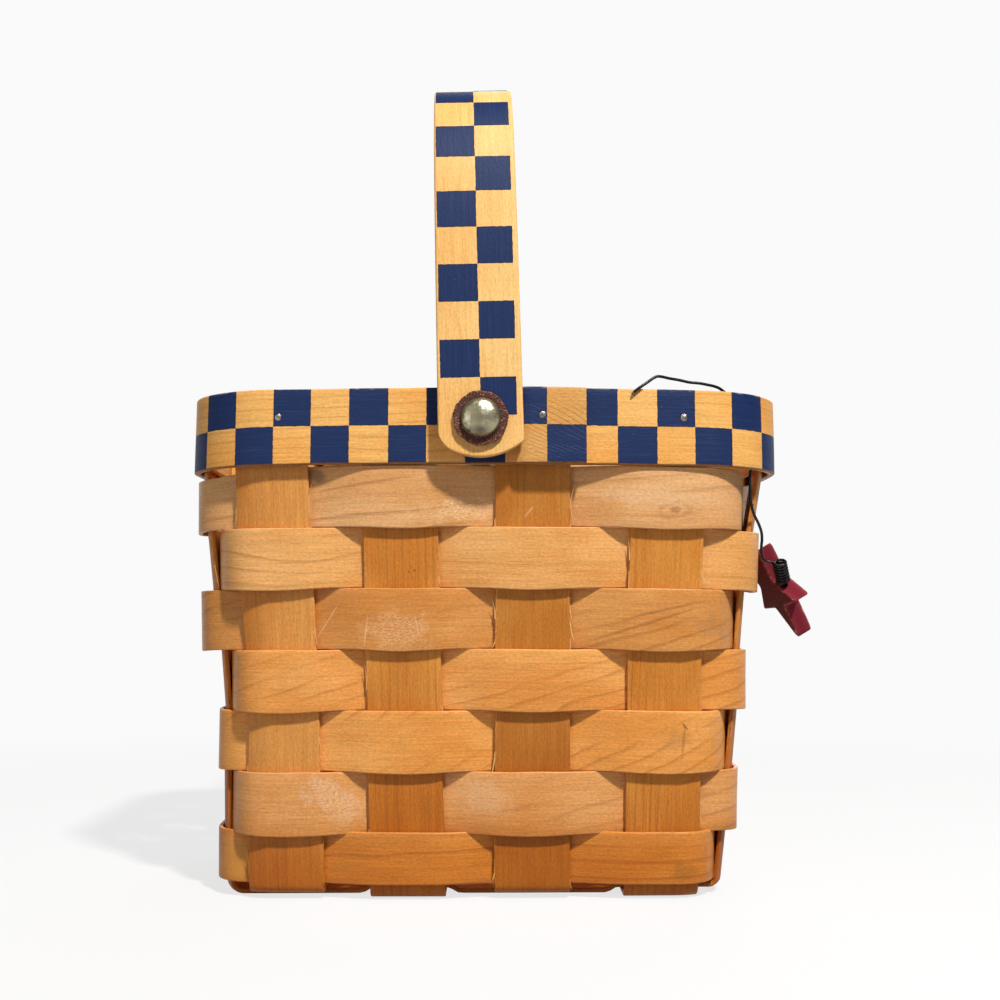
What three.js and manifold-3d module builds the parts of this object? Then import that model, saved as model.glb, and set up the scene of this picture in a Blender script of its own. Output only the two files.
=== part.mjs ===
// A woven splint basket with a riveted swing handle and a wooden star hung on a wire.
// Millimetres, +Z up. The origin is on the floor under the middle of the rim; +X is right, +Y is away.
import * as THREE from 'three';
import { mergeVertices } from 'three/addons/utils/BufferGeometryUtils.js';
import Module from 'manifold-3d';

const wasm = await Module();
wasm.setup();

// Clearance between two pieces that touch
const fit = 0.3;

// Splints of the body
const splintThickness = 1.5;
const uprightWidth = 25.4;
const weaverWidth = 19.95;
const baseRowWidth = 16.6;
const rowGap = 0.3;
const rowCount = 7;
const foldHeight = 4.7;
const flatMargin = 2.6;
const climbRun = 4.4;
const lapHalf = 10.5;

// Shape of a weaver: it stands more upright than the wall, swells over each upright and sags where it is outside
const weaverStand = 0.8;
const weaverSwell = 0.4;
const weaverSag = 0.75;
const swellReach = 21;
const slackRow = 3;
const slackUpright = 13;
const slackSwell = 2.4;

// Middle surface of the wall, at the floor and at the rim
const baseHalfWidth = 84.2;
const baseHalfDepth = 59.5;
const baseCorner = 16;
const rimHalfWidth = 97.4;
const rimHalfDepth = 69.9;
const rimCorner = 26;
const sideBulge = 1.2;
const bodyLean = 3.3;
const rimBow = 1.2;

// Hollows of the two end walls, halfway up
const leftHollow = 3;
const leftHollowHeight = 70;
const rightHollow = 2.2;
const rightHollowHeight = 100;
const hollowSpread = 30;

// Middles of the four long splints and of the three cross splints, as shares of the wall's half width or depth
const longBaseShares = [-0.747, -0.2625, 0.234, 0.7518];
const longRimShares = [-0.7372, -0.2926, 0.1684, 0.6407];
const crossBaseShares = [-0.6639, 0, 0.6639];
const crossRimShares = [-0.6152, 0, 0.6152];

// Rim bands, each one strip whose ends lap
const rimHeight = 25.4;
const outerBand = 2.6;
const innerBand = 2;
const innerDrop = 0.6;
const innerHeight = 23.6;
const outerFlare = 0.45;
const wireRoom = 1;
const wireRoomReach = 100;
const wireRoomRamp = 35;
const outerLapStart = 15.4;
const outerLapEnd = 34;
const innerLapLength = 24;
const lapRamp = 6.8;
const uprightDrop = 1;

// Swing handle
const rivetX = -1.15;
const rivetAboveRimFoot = 14.1;
const handleRise = 124.6;
const handleSquareness = 4.4;
const handleThickness = 3.6;
const handleEndWidth = 28;
const handleTopWidth = 26.6;
const handleEndDrop = 12.6;
const handleEndArc = 5.2;
const handleEndCorner = 4;
const handleEdge = 0.9;
const handleLean = 1.4;

// Rivets and their washers
const rivetHeadRadius = 6.55;
const rivetHeadHeight = 3;
const shankRadius = 2.2;
const tailRadius = 3.6;
const tailHeight = 1.4;
const leatherRadius = 9;
const leatherThickness = 1.6;
const spacerRadius = 8;
const spacerThickness = 2.8;
const burrRadius = 6.2;
const burrThickness = 1;

// Nails through the rim
const nailRadius = 1.3;
const nailHeadRadius = 2.3;
const nailHeadHeight = 0.8;
const nailSink = 0.1;
const nailAboveRimFoot = 16;

// Star and its wire
const starRadius = 20;
const starWaist = 0.42;
const starThickness = 6.5;
const starArms = 5;
const starStandOff = 15.9;
const starAlong = 25.25;
const starHeight = 104.6;
const starLean = 30;
const starYaw = 7.2;
const starTurn = -13.4;
const holeAlongArm = 0.28;
const holeAcross = -0.8;
const holeDepth = 4.5;
const wireRadius = 0.5;
const wireDive = 0.34;
const coilRadius = 2.15;
const coilPitch = 1.25;
const coilTurns = 7;
const coilLift = 1.9;
const coilTilt = [0.06, 0.03, 0.05];

const rad = Math.PI / 180;
const mix = (a, b, t) => a + (b - a) * t;
const ease = (t) => 0.5 - 0.5 * Math.cos(Math.PI * Math.min(Math.max(t, 0), 1));
const vec = (x, y, z) => new THREE.Vector3(x, y, z);

// Heights that follow from the rows
const rowPitch = weaverWidth + rowGap;
const rowFoot = (row) => {
  if (row === rowCount) return foldHeight + fit;
  return foldHeight + fit + baseRowWidth + rowGap + (rowCount - 1 - row) * rowPitch;
};
const rowHead = (row) => rowFoot(row) + (row === rowCount ? baseRowWidth : weaverWidth);
const rimFoot = rowHead(1) + fit;
const rimHead = rimFoot + rimHeight;
const rivetZ = rimFoot + rivetAboveRimFoot;

// Offsets from the middle surface of the wall
const weaveOffset = splintThickness + fit;
const outerBandMiddle = splintThickness / 2 + fit + outerBand / 2;
const outerBandFace = outerBandMiddle + outerBand / 2;
const innerBandMiddle = -(splintThickness / 2 + fit + innerBand / 2);
const innerBandFace = innerBandMiddle - innerBand / 2;
const lapStep = outerBand + fit;

// How much further out the outer band stands at its foot, and where the wire passes under it
const flareAt = (above) => outerFlare * (1 - above / rimHeight);
function roomForWire(form, s) {
  const away = Math.abs((((s % form.length) + form.length) % form.length) - form.length / 4);
  return wireRoom * ease((wireRoomReach - away) / wireRoomRamp);
}

const bell = (z, height) => Math.exp(-(((z - height) / hollowSpread) ** 2));

// The wall's level section: a rounded rectangle with bulging sides, drawn by length from the front's middle
function section(z) {
  const t = Math.min(z / rimFoot, 1);
  const hx = mix(baseHalfWidth, rimHalfWidth, t);
  const hy = mix(baseHalfDepth, rimHalfDepth, t);
  const r = mix(baseCorner, rimCorner, t);
  const length = 4 * (hx + hy) - 8 * r + 2 * Math.PI * r;
  const left = leftHollow * bell(z, leftHollowHeight);
  const right = rightHollow * bell(z, rightHollowHeight);
  return { t, hx, hy, r, length, left, right, shift: -bodyLean * (1 - t) };
}

function outline(form, s) {
  const { hx, hy, r, length } = form;
  const quarter = length / 4;
  let along = ((s % length) + length) % length;
  const turn = Math.floor(along / quarter + 0.5) % 4;
  along -= Math.floor((along + quarter / 2) / quarter) * quarter;
  const across = turn % 2 === 0 ? hx : hy;
  const out = turn % 2 === 0 ? hy : hx;
  const flat = across - r;
  const side = Math.sign(along);
  const over = Math.abs(along) - flat;
  let u = along;
  let v = out;
  if (over > 0) {
    const a = over / r;
    u = side * (flat + r * Math.sin(a));
    v = out - r + r * Math.cos(a);
  }
  const places = [[u, -v], [v, u], [-u, v], [-v, -u]];
  let [x, y] = places[turn];
  x *= 1 - (sideBulge / hx) * (y / hy) ** 2;
  const share = places[turn][0] / hx;
  y *= 1 - (sideBulge / hy) * share ** 2;
  return [x + form.shift - (share < 0 ? form.left : form.right) * share ** 3, y];
}

function wall(s, z, offset) {
  const form = section(z);
  const [x, y] = outline(form, s);
  const [xa, ya] = outline(form, s - 0.2);
  const [xb, yb] = outline(form, s + 0.2);
  const n = Math.hypot(xb - xa, yb - ya);
  const px = x + (offset * (yb - ya)) / n;
  const py = y - (offset * (xb - xa)) / n;
  return vec(px, py, z - rimBow * (px / rimHalfWidth) ** 2 * form.t);
}

// The fourteen uprights in order round the wall, by length from the front's middle
function strips(z) {
  const form = section(z);
  const quarter = form.length / 4;
  const t = form.t;
  const long = longBaseShares.map((k, i) => mix(k * baseHalfWidth, longRimShares[i] * rimHalfWidth, t));
  const cross = crossBaseShares.map((k, j) => mix(k * baseHalfDepth, crossRimShares[j] * rimHalfDepth, t));
  return [
    ...long,
    ...cross.map((y) => quarter + y),
    ...long.map((x) => 2 * quarter - x).reverse(),
    ...cross.map((y) => 3 * quarter - y).reverse(),
  ];
}

// Closed solids
function clean(geometry) {
  const g = geometry.index ? geometry.toNonIndexed() : geometry.clone();
  for (const name of Object.keys(g.attributes)) if (name !== 'position') g.deleteAttribute(name);
  const merged = mergeVertices(g, 1e-4);
  const p = merged.attributes.position;
  const index = [];
  let volume = 0;
  const [a, b, c] = [vec(0, 0, 0), vec(0, 0, 0), vec(0, 0, 0)];
  for (let i = 0; i < merged.index.count; i += 3) {
    const f = [0, 1, 2].map((k) => merged.index.getX(i + k));
    if (f[0] === f[1] || f[1] === f[2] || f[2] === f[0]) continue;
    index.push(f);
    a.fromBufferAttribute(p, f[0]);
    b.fromBufferAttribute(p, f[1]);
    c.fromBufferAttribute(p, f[2]);
    volume += a.dot(b.cross(c));
  }
  if (volume < 0) index.forEach((f) => f.reverse());
  const result = new THREE.BufferGeometry();
  result.setAttribute('position', p);
  result.setIndex(index.flat());
  return result;
}

function solid(geometry) {
  const g = clean(geometry);
  return new wasm.Manifold(new wasm.Mesh({
    numProp: 3,
    vertProperties: new Float32Array(g.attributes.position.array),
    triVerts: new Uint32Array(g.index.array),
  }));
}

function cut(geometry, tools) {
  let body = solid(geometry);
  for (const tool of tools) body = body.subtract(solid(tool));
  const mesh = body.getMesh();
  const result = new THREE.BufferGeometry();
  result.setAttribute('position', new THREE.BufferAttribute(mesh.vertProperties, 3));
  result.setIndex(new THREE.BufferAttribute(mesh.triVerts, 1));
  return result;
}

// A grid of rings, each a closed loop of points, joined into one body with flat ends
function loft(rings) {
  const points = [];
  for (const ring of rings) for (const p of ring) points.push(p.x, p.y, p.z);
  const m = rings[0].length;
  const index = [];
  for (let i = 0; i + 1 < rings.length; i += 1) {
    for (let j = 0; j < m; j += 1) {
      const [a, b] = [i * m + j, i * m + ((j + 1) % m)];
      index.push(a, b, b + m, a, b + m, a + m);
    }
  }
  const last = (rings.length - 1) * m;
  for (let j = 0; j < m / 2 - 1; j += 1) {
    index.push(j, m - 1 - j, j + 1, j + 1, m - 1 - j, m - 2 - j);
    index.push(last + j, last + j + 1, last + m - 1 - j);
    index.push(last + j + 1, last + m - 2 - j, last + m - 1 - j);
  }
  const g = new THREE.BufferGeometry();
  g.setAttribute('position', new THREE.Float32BufferAttribute(points, 3));
  g.setIndex(index);
  return clean(g);
}

// A thin sheet: the grid is its middle surface, half is its half thickness at each column
function sheet(grid, half) {
  const rows = grid.length;
  const columns = grid[0].length;
  const rings = grid.map((row, i) => {
    const top = [];
    const under = [];
    row.forEach((p, j) => {
      const along = grid[Math.min(i + 1, rows - 1)][j].clone().sub(grid[Math.max(i - 1, 0)][j]);
      const across = row[Math.min(j + 1, columns - 1)].clone().sub(row[Math.max(j - 1, 0)]);
      const n = along.cross(across).normalize();
      top.push(p.clone().addScaledVector(n, half(j)));
      under.push(p.clone().addScaledVector(n, -half(j)));
    });
    return [...top, ...under.reverse()];
  });
  return loft(rings);
}

// A strip round the wall between two heights: each station has its length, its offsets at foot and head, and a sag
function hoop(stations, foot, head, thickness) {
  const middle = section((foot + head) / 2).length;
  const [low, high] = [section(foot).length / middle, section(head).length / middle];
  return loft(stations.map(([s, out, outHigh = out, sag = 0]) => [
    wall(s * low, foot - sag, out + thickness / 2),
    wall(s * high, head, outHigh + thickness / 2),
    wall(s * high, head, outHigh - thickness / 2),
    wall(s * low, foot - sag, out - thickness / 2),
  ]));
}

// More stations where the section turns a corner
function inCorner(form, s) {
  const quarter = form.length / 4;
  const turn = Math.floor((((s % form.length) + form.length) % form.length) / quarter + 0.5) % 4;
  const along = s - Math.round(s / quarter) * quarter;
  const flat = (turn % 2 === 0 ? form.hx : form.hy) - form.r;
  return Math.abs(along) > flat - 1;
}

function divide(form, breaks, step) {
  const out = [breaks[0]];
  for (let i = 1; i < breaks.length; i += 1) {
    const [a, b] = [breaks[i - 1], breaks[i]];
    const n = Math.ceil((b - a) / step - 1e-6);
    for (let k = 1; k < n; k += 1) {
      const near = [k - 1, k, k + 1].map((i) => mix(a, b, i / n));
      if (near.some((s) => inCorner(form, s))) out.push(near[1]);
    }
    out.push(b);
  }
  return out;
}

// Weaver: outside every second upright, with both ends lapped inside one upright at the back
function weaver(row) {
  const [foot, head] = [rowFoot(row), rowHead(row)];
  const z = (foot + head) / 2;
  const form = section(z);
  const at = strips(z);
  const lap = [8, 9, 10, 7][(row - 1) % 4];
  const flat = uprightWidth / 2 + flatMargin;
  const knots = [];
  for (let n = 0; n <= at.length; n += 1) {
    const k = (lap + n) % at.length;
    const centre = at[k] + form.length * Math.floor((lap + n) / at.length);
    const side = (k + row) % 2 === 0 ? 1 : -1;
    const slack = row === slackRow && k === slackUpright ? slackSwell : 0;
    const swell = n === 0 || n === at.length ? 0 : side * weaverSwell + slack;
    const deep = n === at.length ? splintThickness + fit : 0;
    knots.push({ centre, side, swell, from: centre - flat, to: centre + flat, offset: side * weaveOffset - deep });
  }
  const [first, last] = [knots[0], knots[at.length]];
  first.from = first.centre - lapHalf;
  last.to = last.centre + lapHalf;
  const stations = [];
  const place = (s, offset, { centre, side, swell }) => {
    const dome = Math.cos((Math.PI / 2) * Math.min(Math.abs(s - centre) / swellReach, 1)) ** 2;
    const outside = Math.min(Math.max((offset / weaveOffset + 1) / 2, 0), 1);
    const normal = wall(s, z, 1).sub(wall(s, z, 0)).setZ(0);
    const stand = weaverStand * wall(s, head, 0).sub(wall(s, foot, 0)).dot(normal);
    const out = offset + swell * dome;
    const sag = side > 0 && row < rowCount ? weaverSag * dome : 0;
    stations.push([s, out + stand * outside, out - stand * (1 - outside), sag]);
  };
  knots.forEach((knot, i) => {
    const breaks = knot.swell ? [knot.from, knot.centre, knot.to] : [knot.from, knot.to];
    for (const s of divide(form, breaks, 5)) place(s, knot.offset, knot);
    if (i === knots.length - 1) return;
    const next = knots[i + 1];
    const bend = Math.max(4, Math.ceil((next.from - knot.to) / 5));
    for (let j = 1; j < bend; j += 1) {
      const s = mix(knot.to, next.from, j / bend);
      place(s, mix(knot.offset, next.offset, ease(j / bend)), j / bend < 0.5 ? knot : next);
    }
  });
  return hoop(stations, foot, head, splintThickness);
}

// Level of a base splint's middle: low on the floor, or high over the splint that it crosses
const lowLevel = splintThickness / 2;
const highLevel = lowLevel + splintThickness + fit;

function baseWeave(crossings, from, to) {
  const out = [];
  const near = fit + 0.05;
  const reach = uprightWidth / 2 + near;
  crossings.forEach(({ at, high }, i) => {
    const level = high ? highLevel : lowLevel;
    const first = i === 0 ? from : at - reach;
    const end = i === crossings.length - 1 ? to : at + reach;
    if (high && i > 0) {
      for (let k = 0; k < 4; k += 1) out.push([first - climbRun * (1 - k / 4), mix(lowLevel, level, ease(k / 4))]);
    }
    out.push([first, level]);
    out.push([end, level]);
    if (high && i < crossings.length - 1) {
      for (let k = 1; k <= 4; k += 1) out.push([end + climbRun * (k / 4), mix(level, lowLevel, ease(k / 4))]);
    }
  });
  return out.filter((p, i) => i === 0 || Math.abs(p[0] - out[i - 1][0]) > 0.02);
}

// A splint bends at the heights where the rows meet, as the weavers do
const wallRows = [foldHeight, ...[6, 5, 4, 3, 2, 1].map((row) => rowFoot(row)), rimFoot];

// A splint that runs up one wall, and its middle line from the top down to the fold
function wallRun(strip, across) {
  const heights = [rimHead - uprightDrop, ...[...wallRows].reverse()];
  return heights.map((z) => across.map((c) => wall(strips(z)[strip] + c, z, 0)));
}

function fold(top, strip, across, level, inward) {
  const radius = foldHeight - level;
  const rows = [1, 2, 3, 4, 5].map((k) => across.map((c, j) => {
    const a = top[j];
    const corner = wall(strips(level)[strip] + c, level, 0);
    corner.z = level;
    const end = corner.clone().addScaledVector(inward, radius);
    const t = k / 5;
    return a.clone().multiplyScalar((1 - t) ** 2)
      .addScaledVector(corner, 2 * t * (1 - t)).addScaledVector(end, t * t);
  }));
  return rows;
}

function splint(stripA, stripB, crossings, axis, columns) {
  const across = [...Array(columns + 1)].map((_, j) => uprightWidth * (j / columns - 0.5));
  const acrossB = across.map((c) => -c);
  const inward = axis === 'y' ? vec(0, 1, 0) : vec(1, 0, 0);
  const levelA = crossings[0].high ? highLevel : lowLevel;
  const levelB = crossings[crossings.length - 1].high ? highLevel : lowLevel;
  const sideA = axis === 'y' ? across : acrossB;
  const sideB = sideA.map((c) => -c);
  const runA = wallRun(stripA, sideA);
  const runB = wallRun(stripB, sideB);
  const foldA = fold(runA[runA.length - 1], stripA, sideA, levelA, inward);
  const foldB = fold(runB[runB.length - 1], stripB, sideB, levelB, inward.clone().negate());
  const [startRow, endRow] = [foldA[4], foldB[4]];
  const middle = Math.floor(columns / 2);
  const base = baseWeave(crossings, startRow[middle][axis], endRow[middle][axis]).slice(1, -1);
  const rows = base.map(([d, level]) => startRow.map((p, j) => {
    const q = endRow[j];
    const t = (d - startRow[middle][axis]) / (endRow[middle][axis] - startRow[middle][axis]);
    const point = p.clone().lerp(q, t);
    point.z = level;
    return point;
  }));
  return sheet([...runA, ...foldA, ...rows, ...foldB.reverse(), ...runB.reverse()], () => splintThickness / 2);
}

// Tools that cut holes
function drill(at, direction, radius, length, sides) {
  const g = new THREE.CylinderGeometry(radius, radius, length, sides);
  const q = new THREE.Quaternion().setFromUnitVectors(vec(0, 1, 0), direction.clone().normalize());
  return g.applyQuaternion(q).translate(at.x, at.y, at.z);
}

const throughRim = 40;
const rivetTool = drill(vec(rivetX, 0, rivetZ), vec(0, 1, 0), shankRadius + fit, 4 * rimHalfDepth, 16);

// Nails stand at the middle of these uprights, a little along from it where the wall laps
const nailStrips = [[0, 3], [2, 3], [3, 4.5], [5, 0], [7, 0], [9, 0], [10, 0], [13, 0]];
const nails = nailStrips.map(([strip, along]) => {
  const z = rimFoot + nailAboveRimFoot;
  const s = strips(z)[strip] + along;
  const further = strip === 2 ? lapStep : roomForWire(section(z), s);
  const outer = wall(s, z, outerBandFace + flareAt(nailAboveRimFoot) + further - nailSink);
  const inner = wall(s, z, innerBandFace - fit);
  return { strip, outer, inner, direction: outer.clone().sub(inner) };
});
const nailTools = nails.map(({ outer, inner, direction }) => (
  drill(outer.clone().add(inner).multiplyScalar(0.5), direction, nailRadius + fit, throughRim / 2, 8)
));

function ringTools(strip) {
  return nailTools.filter((_, i) => nails[i].strip === strip);
}

// Rim bands
function outerRim() {
  const z = (rimFoot + rimHead) / 2;
  const form = section(z);
  const rampStart = form.length + outerLapStart - 1 - lapRamp;
  const breaks = [outerLapStart, form.length / 4, form.length / 2, (3 * form.length) / 4, rampStart];
  const stations = divide(form, breaks, 5).map((s) => [s, outerBandMiddle + roomForWire(form, s)]);
  for (let k = 1; k <= 5; k += 1) {
    stations.push([rampStart + (lapRamp * k) / 5, outerBandMiddle + lapStep * ease(k / 5)]);
  }
  stations.push([form.length + outerLapEnd, outerBandMiddle + lapStep]);
  const flared = stations.map(([s, out]) => [s, out + outerFlare, out]);
  return cut(hoop(flared, rimFoot, rimHead, outerBand), [rivetTool, ...nailTools]);
}

function innerRim() {
  const head = rimHead - innerDrop;
  const foot = head - innerHeight;
  const form = section((foot + head) / 2);
  const start = (3 * form.length) / 4 - innerLapLength / 2 + lapRamp / 2;
  const rampStart = start + form.length - 1 - lapRamp;
  const quarter = form.length / 4;
  const breaks = [start, 4 * quarter, 5 * quarter, 6 * quarter, rampStart];
  const stations = divide(form, breaks, 5).map((s) => [s, innerBandMiddle]);
  const step = innerBand + fit;
  for (let k = 1; k <= 5; k += 1) {
    stations.push([rampStart + (lapRamp * k) / 5, innerBandMiddle - step * ease(k / 5)]);
  }
  stations.push([rampStart + lapRamp + innerLapLength, innerBandMiddle - step]);
  return cut(hoop(stations, foot, head, innerBand), [rivetTool, ...nailTools]);
}

// Handle: a bent strap, drawn in the frame of its rivets, then leaned over as it stands
const rimOuterFace = rimHalfDepth + outerBandFace + flareAt(rivetAboveRimFoot - spacerRadius);
const handleInner = rimOuterFace + spacerThickness + 2 * fit;
const handleOuter = handleInner + handleThickness;

function handleLine() {
  const n = 2 / handleSquareness;
  const fine = [];
  for (let i = 0; i <= 600; i += 1) {
    const a = (Math.PI * i) / 600;
    const [c, s] = [Math.cos(a), Math.sin(a)];
    fine.push(vec(0, -Math.sign(c) * handleOuter * Math.abs(c) ** n, handleRise * s ** n));
  }
  const curve = new THREE.CatmullRomCurve3(fine);
  curve.arcLengthDivisions = 1200;
  return curve.getSpacedPoints(58);
}

function handleStrap() {
  const line = handleLine();
  const foot = -handleEndDrop - 1;
  const outer = [vec(0, -handleOuter, foot), ...line, vec(0, handleOuter, foot)];
  const middle = outer.map((p, i) => {
    const a = outer[Math.max(i - 1, 0)];
    const b = outer[Math.min(i + 1, outer.length - 1)];
    const run = b.clone().sub(a).normalize();
    return p.clone().addScaledVector(vec(0, run.z, -run.y), handleThickness / 2);
  });
  const grid = middle.map((p) => {
    const w = mix(handleEndWidth, handleTopWidth, Math.max(p.z, 0) / handleRise) / 2;
    return [-w, -w + handleEdge, w - handleEdge, w].map((x) => vec(x, p.y, p.z));
  });
  const strap = sheet(grid, (j) => handleThickness / 2 - (j % 3 === 0 ? handleEdge : 0));
  const half = handleEndWidth / 2;
  const arcRadius = (half ** 2 + handleEndArc ** 2) / (2 * handleEndArc);
  const endAt = (x) => {
    const corner = Math.max(-x - half + handleEndCorner, 0);
    return -handleEndDrop + arcRadius - Math.sqrt(arcRadius ** 2 - x * x)
      + handleEndCorner - Math.sqrt(handleEndCorner ** 2 - corner ** 2);
  };
  const depth = 4 * handleThickness;
  const low = -handleEndDrop - handleEndArc;
  const tools = [-1, 1].map((side) => {
    const shape = new THREE.Shape();
    shape.moveTo(-half - 1, low);
    shape.lineTo(half + 1, low);
    shape.lineTo(half + 1, endAt(half));
    for (let k = 10; k >= -7; k -= 1) shape.lineTo((half * k) / 10, endAt((half * k) / 10));
    for (const k of [0.3, 0.6, 0.85, 1]) {
      const x = -half + handleEndCorner * (1 - k);
      shape.lineTo(x, endAt(x));
    }
    shape.lineTo(-half - 1, endAt(-half));
    const g = new THREE.ExtrudeGeometry(shape, { depth, bevelEnabled: false });
    return g.rotateX(Math.PI / 2).translate(0, side * handleInner + depth / 2, 0);
  });
  const bore = drill(vec(0, 0, 0), vec(0, 1, 0), shankRadius + fit, 4 * rimHalfDepth, 16);
  return cut(strap, [...tools, bore]);
}

// Turned pieces on the rivet line; y is the distance out from the basket's middle
const leatherInner = handleOuter + fit;
const headInner = leatherInner + leatherThickness + fit;
const innerFaceY = rimHalfDepth + innerBandFace;
const burrOuter = innerFaceY - fit;
const tailOuter = burrOuter - burrThickness - fit;

function turned(profile, side) {
  const g = new THREE.LatheGeometry(profile.map(([r, y]) => new THREE.Vector2(r, y)), 16);
  if (side < 0) g.rotateZ(Math.PI);
  return clean(g);
}

const washerProfile = (inner, outer, y0, y1) => [[inner, y0], [outer, y0], [outer, y1], [inner, y1], [inner, y0]];

function rivetProfile() {
  const dome = [0, 1, 2, 3, 4].map((k) => {
    const a = (k / 5) * (Math.PI / 2);
    return [rivetHeadRadius * Math.sin(a), headInner + 0.5 + (rivetHeadHeight - 0.5) * Math.cos(a)];
  });
  return [
    ...dome,
    [rivetHeadRadius, headInner + 0.5],
    [rivetHeadRadius, headInner],
    [shankRadius, headInner],
    [shankRadius, tailOuter],
    [tailRadius, tailOuter],
    [tailRadius * 0.75, tailOuter - tailHeight * 0.7],
    [0, tailOuter - tailHeight],
  ];
}

function nail({ outer, inner, direction }) {
  const length = direction.length();
  const profile = [
    [0, length], [nailRadius, length], [nailRadius, 0],
    [nailHeadRadius, 0], [nailHeadRadius, -nailHeadHeight], [0, -nailHeadHeight],
  ];
  const g = new THREE.LatheGeometry(profile.map(([r, y]) => new THREE.Vector2(r, y)), 8);
  const q = new THREE.Quaternion().setFromUnitVectors(vec(0, 1, 0), direction.clone().normalize());
  return clean(g.applyQuaternion(q).translate(inner.x, inner.y, inner.z));
}

// Star: its face leans off the right-hand wall, one arm towards the front
const starForm = section(starHeight);
const starPlace = wall(starForm.length / 4 - starAlong, starHeight, starStandOff);
const starOut = vec(
  Math.cos(starLean * rad) * Math.cos(starYaw * rad),
  Math.cos(starLean * rad) * Math.sin(starYaw * rad),
  Math.sin(starLean * rad),
);
const starNear = vec(Math.sin(starYaw * rad), -Math.cos(starYaw * rad), 0);
const starUp = starOut.clone().cross(starNear);
if (starUp.z < 0) starUp.negate();
const starPoint = (k) => {
  const a = (starTurn + (180 / starArms) * k) * rad;
  const r = k % 2 === 0 ? starRadius : starRadius * starWaist;
  return [r * Math.cos(a), r * Math.sin(a)];
};
const starWorld = (u, v, w) => starPlace.clone()
  .addScaledVector(starNear, u).addScaledVector(starUp, v).addScaledVector(starOut, w);

const [tipU, tipV] = starPoint(0);
const [waistU, waistV] = starPoint(1);
const holeU = mix(waistU, tipU, holeAlongArm);
const holeV = mix(waistV, tipV, holeAlongArm);
const holeMouth = starWorld(holeU, holeV, holeAcross);
const edgeNormal = starWorld(holeU + (waistV - tipV) * -1, holeV + (waistU - tipU), 0)
  .sub(starWorld(holeU, holeV, 0)).normalize();
if (edgeNormal.z < 0) edgeNormal.negate();
const coilAxis = edgeNormal.clone().add(vec(...coilTilt)).normalize();

function starGeometry() {
  const shape = new THREE.Shape();
  for (let k = 0; k < 2 * starArms; k += 1) {
    const [u, v] = starPoint(k);
    if (k === 0) shape.moveTo(u, v);
    else shape.lineTo(u, v);
  }
  shape.closePath();
  const g = new THREE.ExtrudeGeometry(shape, { depth: starThickness, bevelEnabled: false });
  g.translate(0, 0, -starThickness / 2);
  g.applyMatrix4(new THREE.Matrix4().makeBasis(starNear, starUp, starOut).setPosition(starPlace));
  return cut(g, [drill(holeMouth, coilAxis, wireRadius + fit + 0.1, 2 * holeDepth, 8)]);
}

// Wire: hooked over the rim, down between the bands, out under the rim, then a close coil into the star
function wirePoints() {
  const [before, after] = [strips(rimFoot)[3] + uprightWidth / 2, strips(rimFoot)[4] - uprightWidth / 2];
  const dive = mix(before, after, wireDive);
  const front = outerBandFace + fit + 2 * wireRadius;
  const over = [
    [-34.3, front - 0.35, -2.1], [-33.1, front - 0.4, -0.8], [-31.4, front - 0.5, 0.5], [-28.9, 3.7, 2.3],
    [-26.7, 3, 3.9], [-25.4, 2.6, 4.5], [-24, 2.2, 4.5], [-21.3, 1.5, 4.1], [-17.8, 0.8, 3.7], [-14.2, 0.3, 3.1],
    [-10.7, 0, 2.9], [-7.8, 0, 2.5], [-5.3, 0, 2.1], [-3.4, 0, 1.5], [-1.8, 0, 0.5], [0, 0, -0.7],
    [3.6, 0, -8.5], [7.7, 0.1, -17],
  ].map(([s, offset, up]) => wall(dive + s, rimHead + up, offset));
  const down = [
    [-6, 0.2, 1.5], [-6, 0.2, -2.9], [-5.5, 0.4, -6.3], [-5.3, 0.8, -9.7], [-3.7, 1.7, -14.1], [-0.3, 2.8, -17.5],
    [2.5, 3.7, -20.2], [4.6, 4.2, -22.7], [6.3, 4.5, -25.2], [8, 5.4, -27.8], [9.6, 6.8, -29.6],
  ].map(([s, offset, up]) => wall(after + s, rimFoot + up, offset));
  const side = vec(-1, 0, 0).addScaledVector(coilAxis, coilAxis.x).normalize();
  const near = coilAxis.clone().cross(side).normalize();
  const height = coilTurns * coilPitch;
  const around = (turns, radius, up) => holeMouth.clone()
    .addScaledVector(coilAxis, coilLift + up)
    .addScaledVector(side, radius * Math.cos(2 * Math.PI * turns))
    .addScaledVector(near, radius * Math.sin(2 * Math.PI * turns));
  const coil = [];
  for (let k = 0; k <= coilTurns * 8; k += 1) coil.push(around(k / 8, coilRadius, height - (k / 8) * coilPitch));
  const turnIn = [1, 2, 3].map((k) => around(coilTurns + k / 8, coilRadius * (1 - k / 3.6), -0.32 * k));
  const end = [0.4, -1, -holeDepth + 0.8].map((up) => holeMouth.clone().addScaledVector(coilAxis, up));
  return [...over, ...down, ...coil, ...turnIn, ...end];
}

function wireGeometry() {
  const path = new THREE.CatmullRomCurve3(wirePoints(), false, 'centripetal');
  path.arcLengthDivisions = 2000;
  const steps = Math.round(path.getLength() / ((2 * Math.PI * coilRadius) / 8));
  const shape = new THREE.Shape();
  for (let k = 0; k < 5; k += 1) {
    const a = (2 * Math.PI * k) / 5;
    if (k === 0) shape.moveTo(wireRadius, 0);
    else shape.lineTo(wireRadius * Math.cos(a), wireRadius * Math.sin(a));
  }
  shape.closePath();
  const line = path.getSpacedPoints(steps * 3);
  let least = Infinity;
  for (let i = 0; i < line.length; i += 1) {
    for (let j = i + 12; j < line.length; j += 1) least = Math.min(least, line[i].distanceTo(line[j]));
  }
  console.log(`least gap of the wire to itself ${(least - 2 * wireRadius).toFixed(2)} mm`);
  return clean(new THREE.ExtrudeGeometry(shape, { steps, extrudePath: path, bevelEnabled: false }));
}

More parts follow.
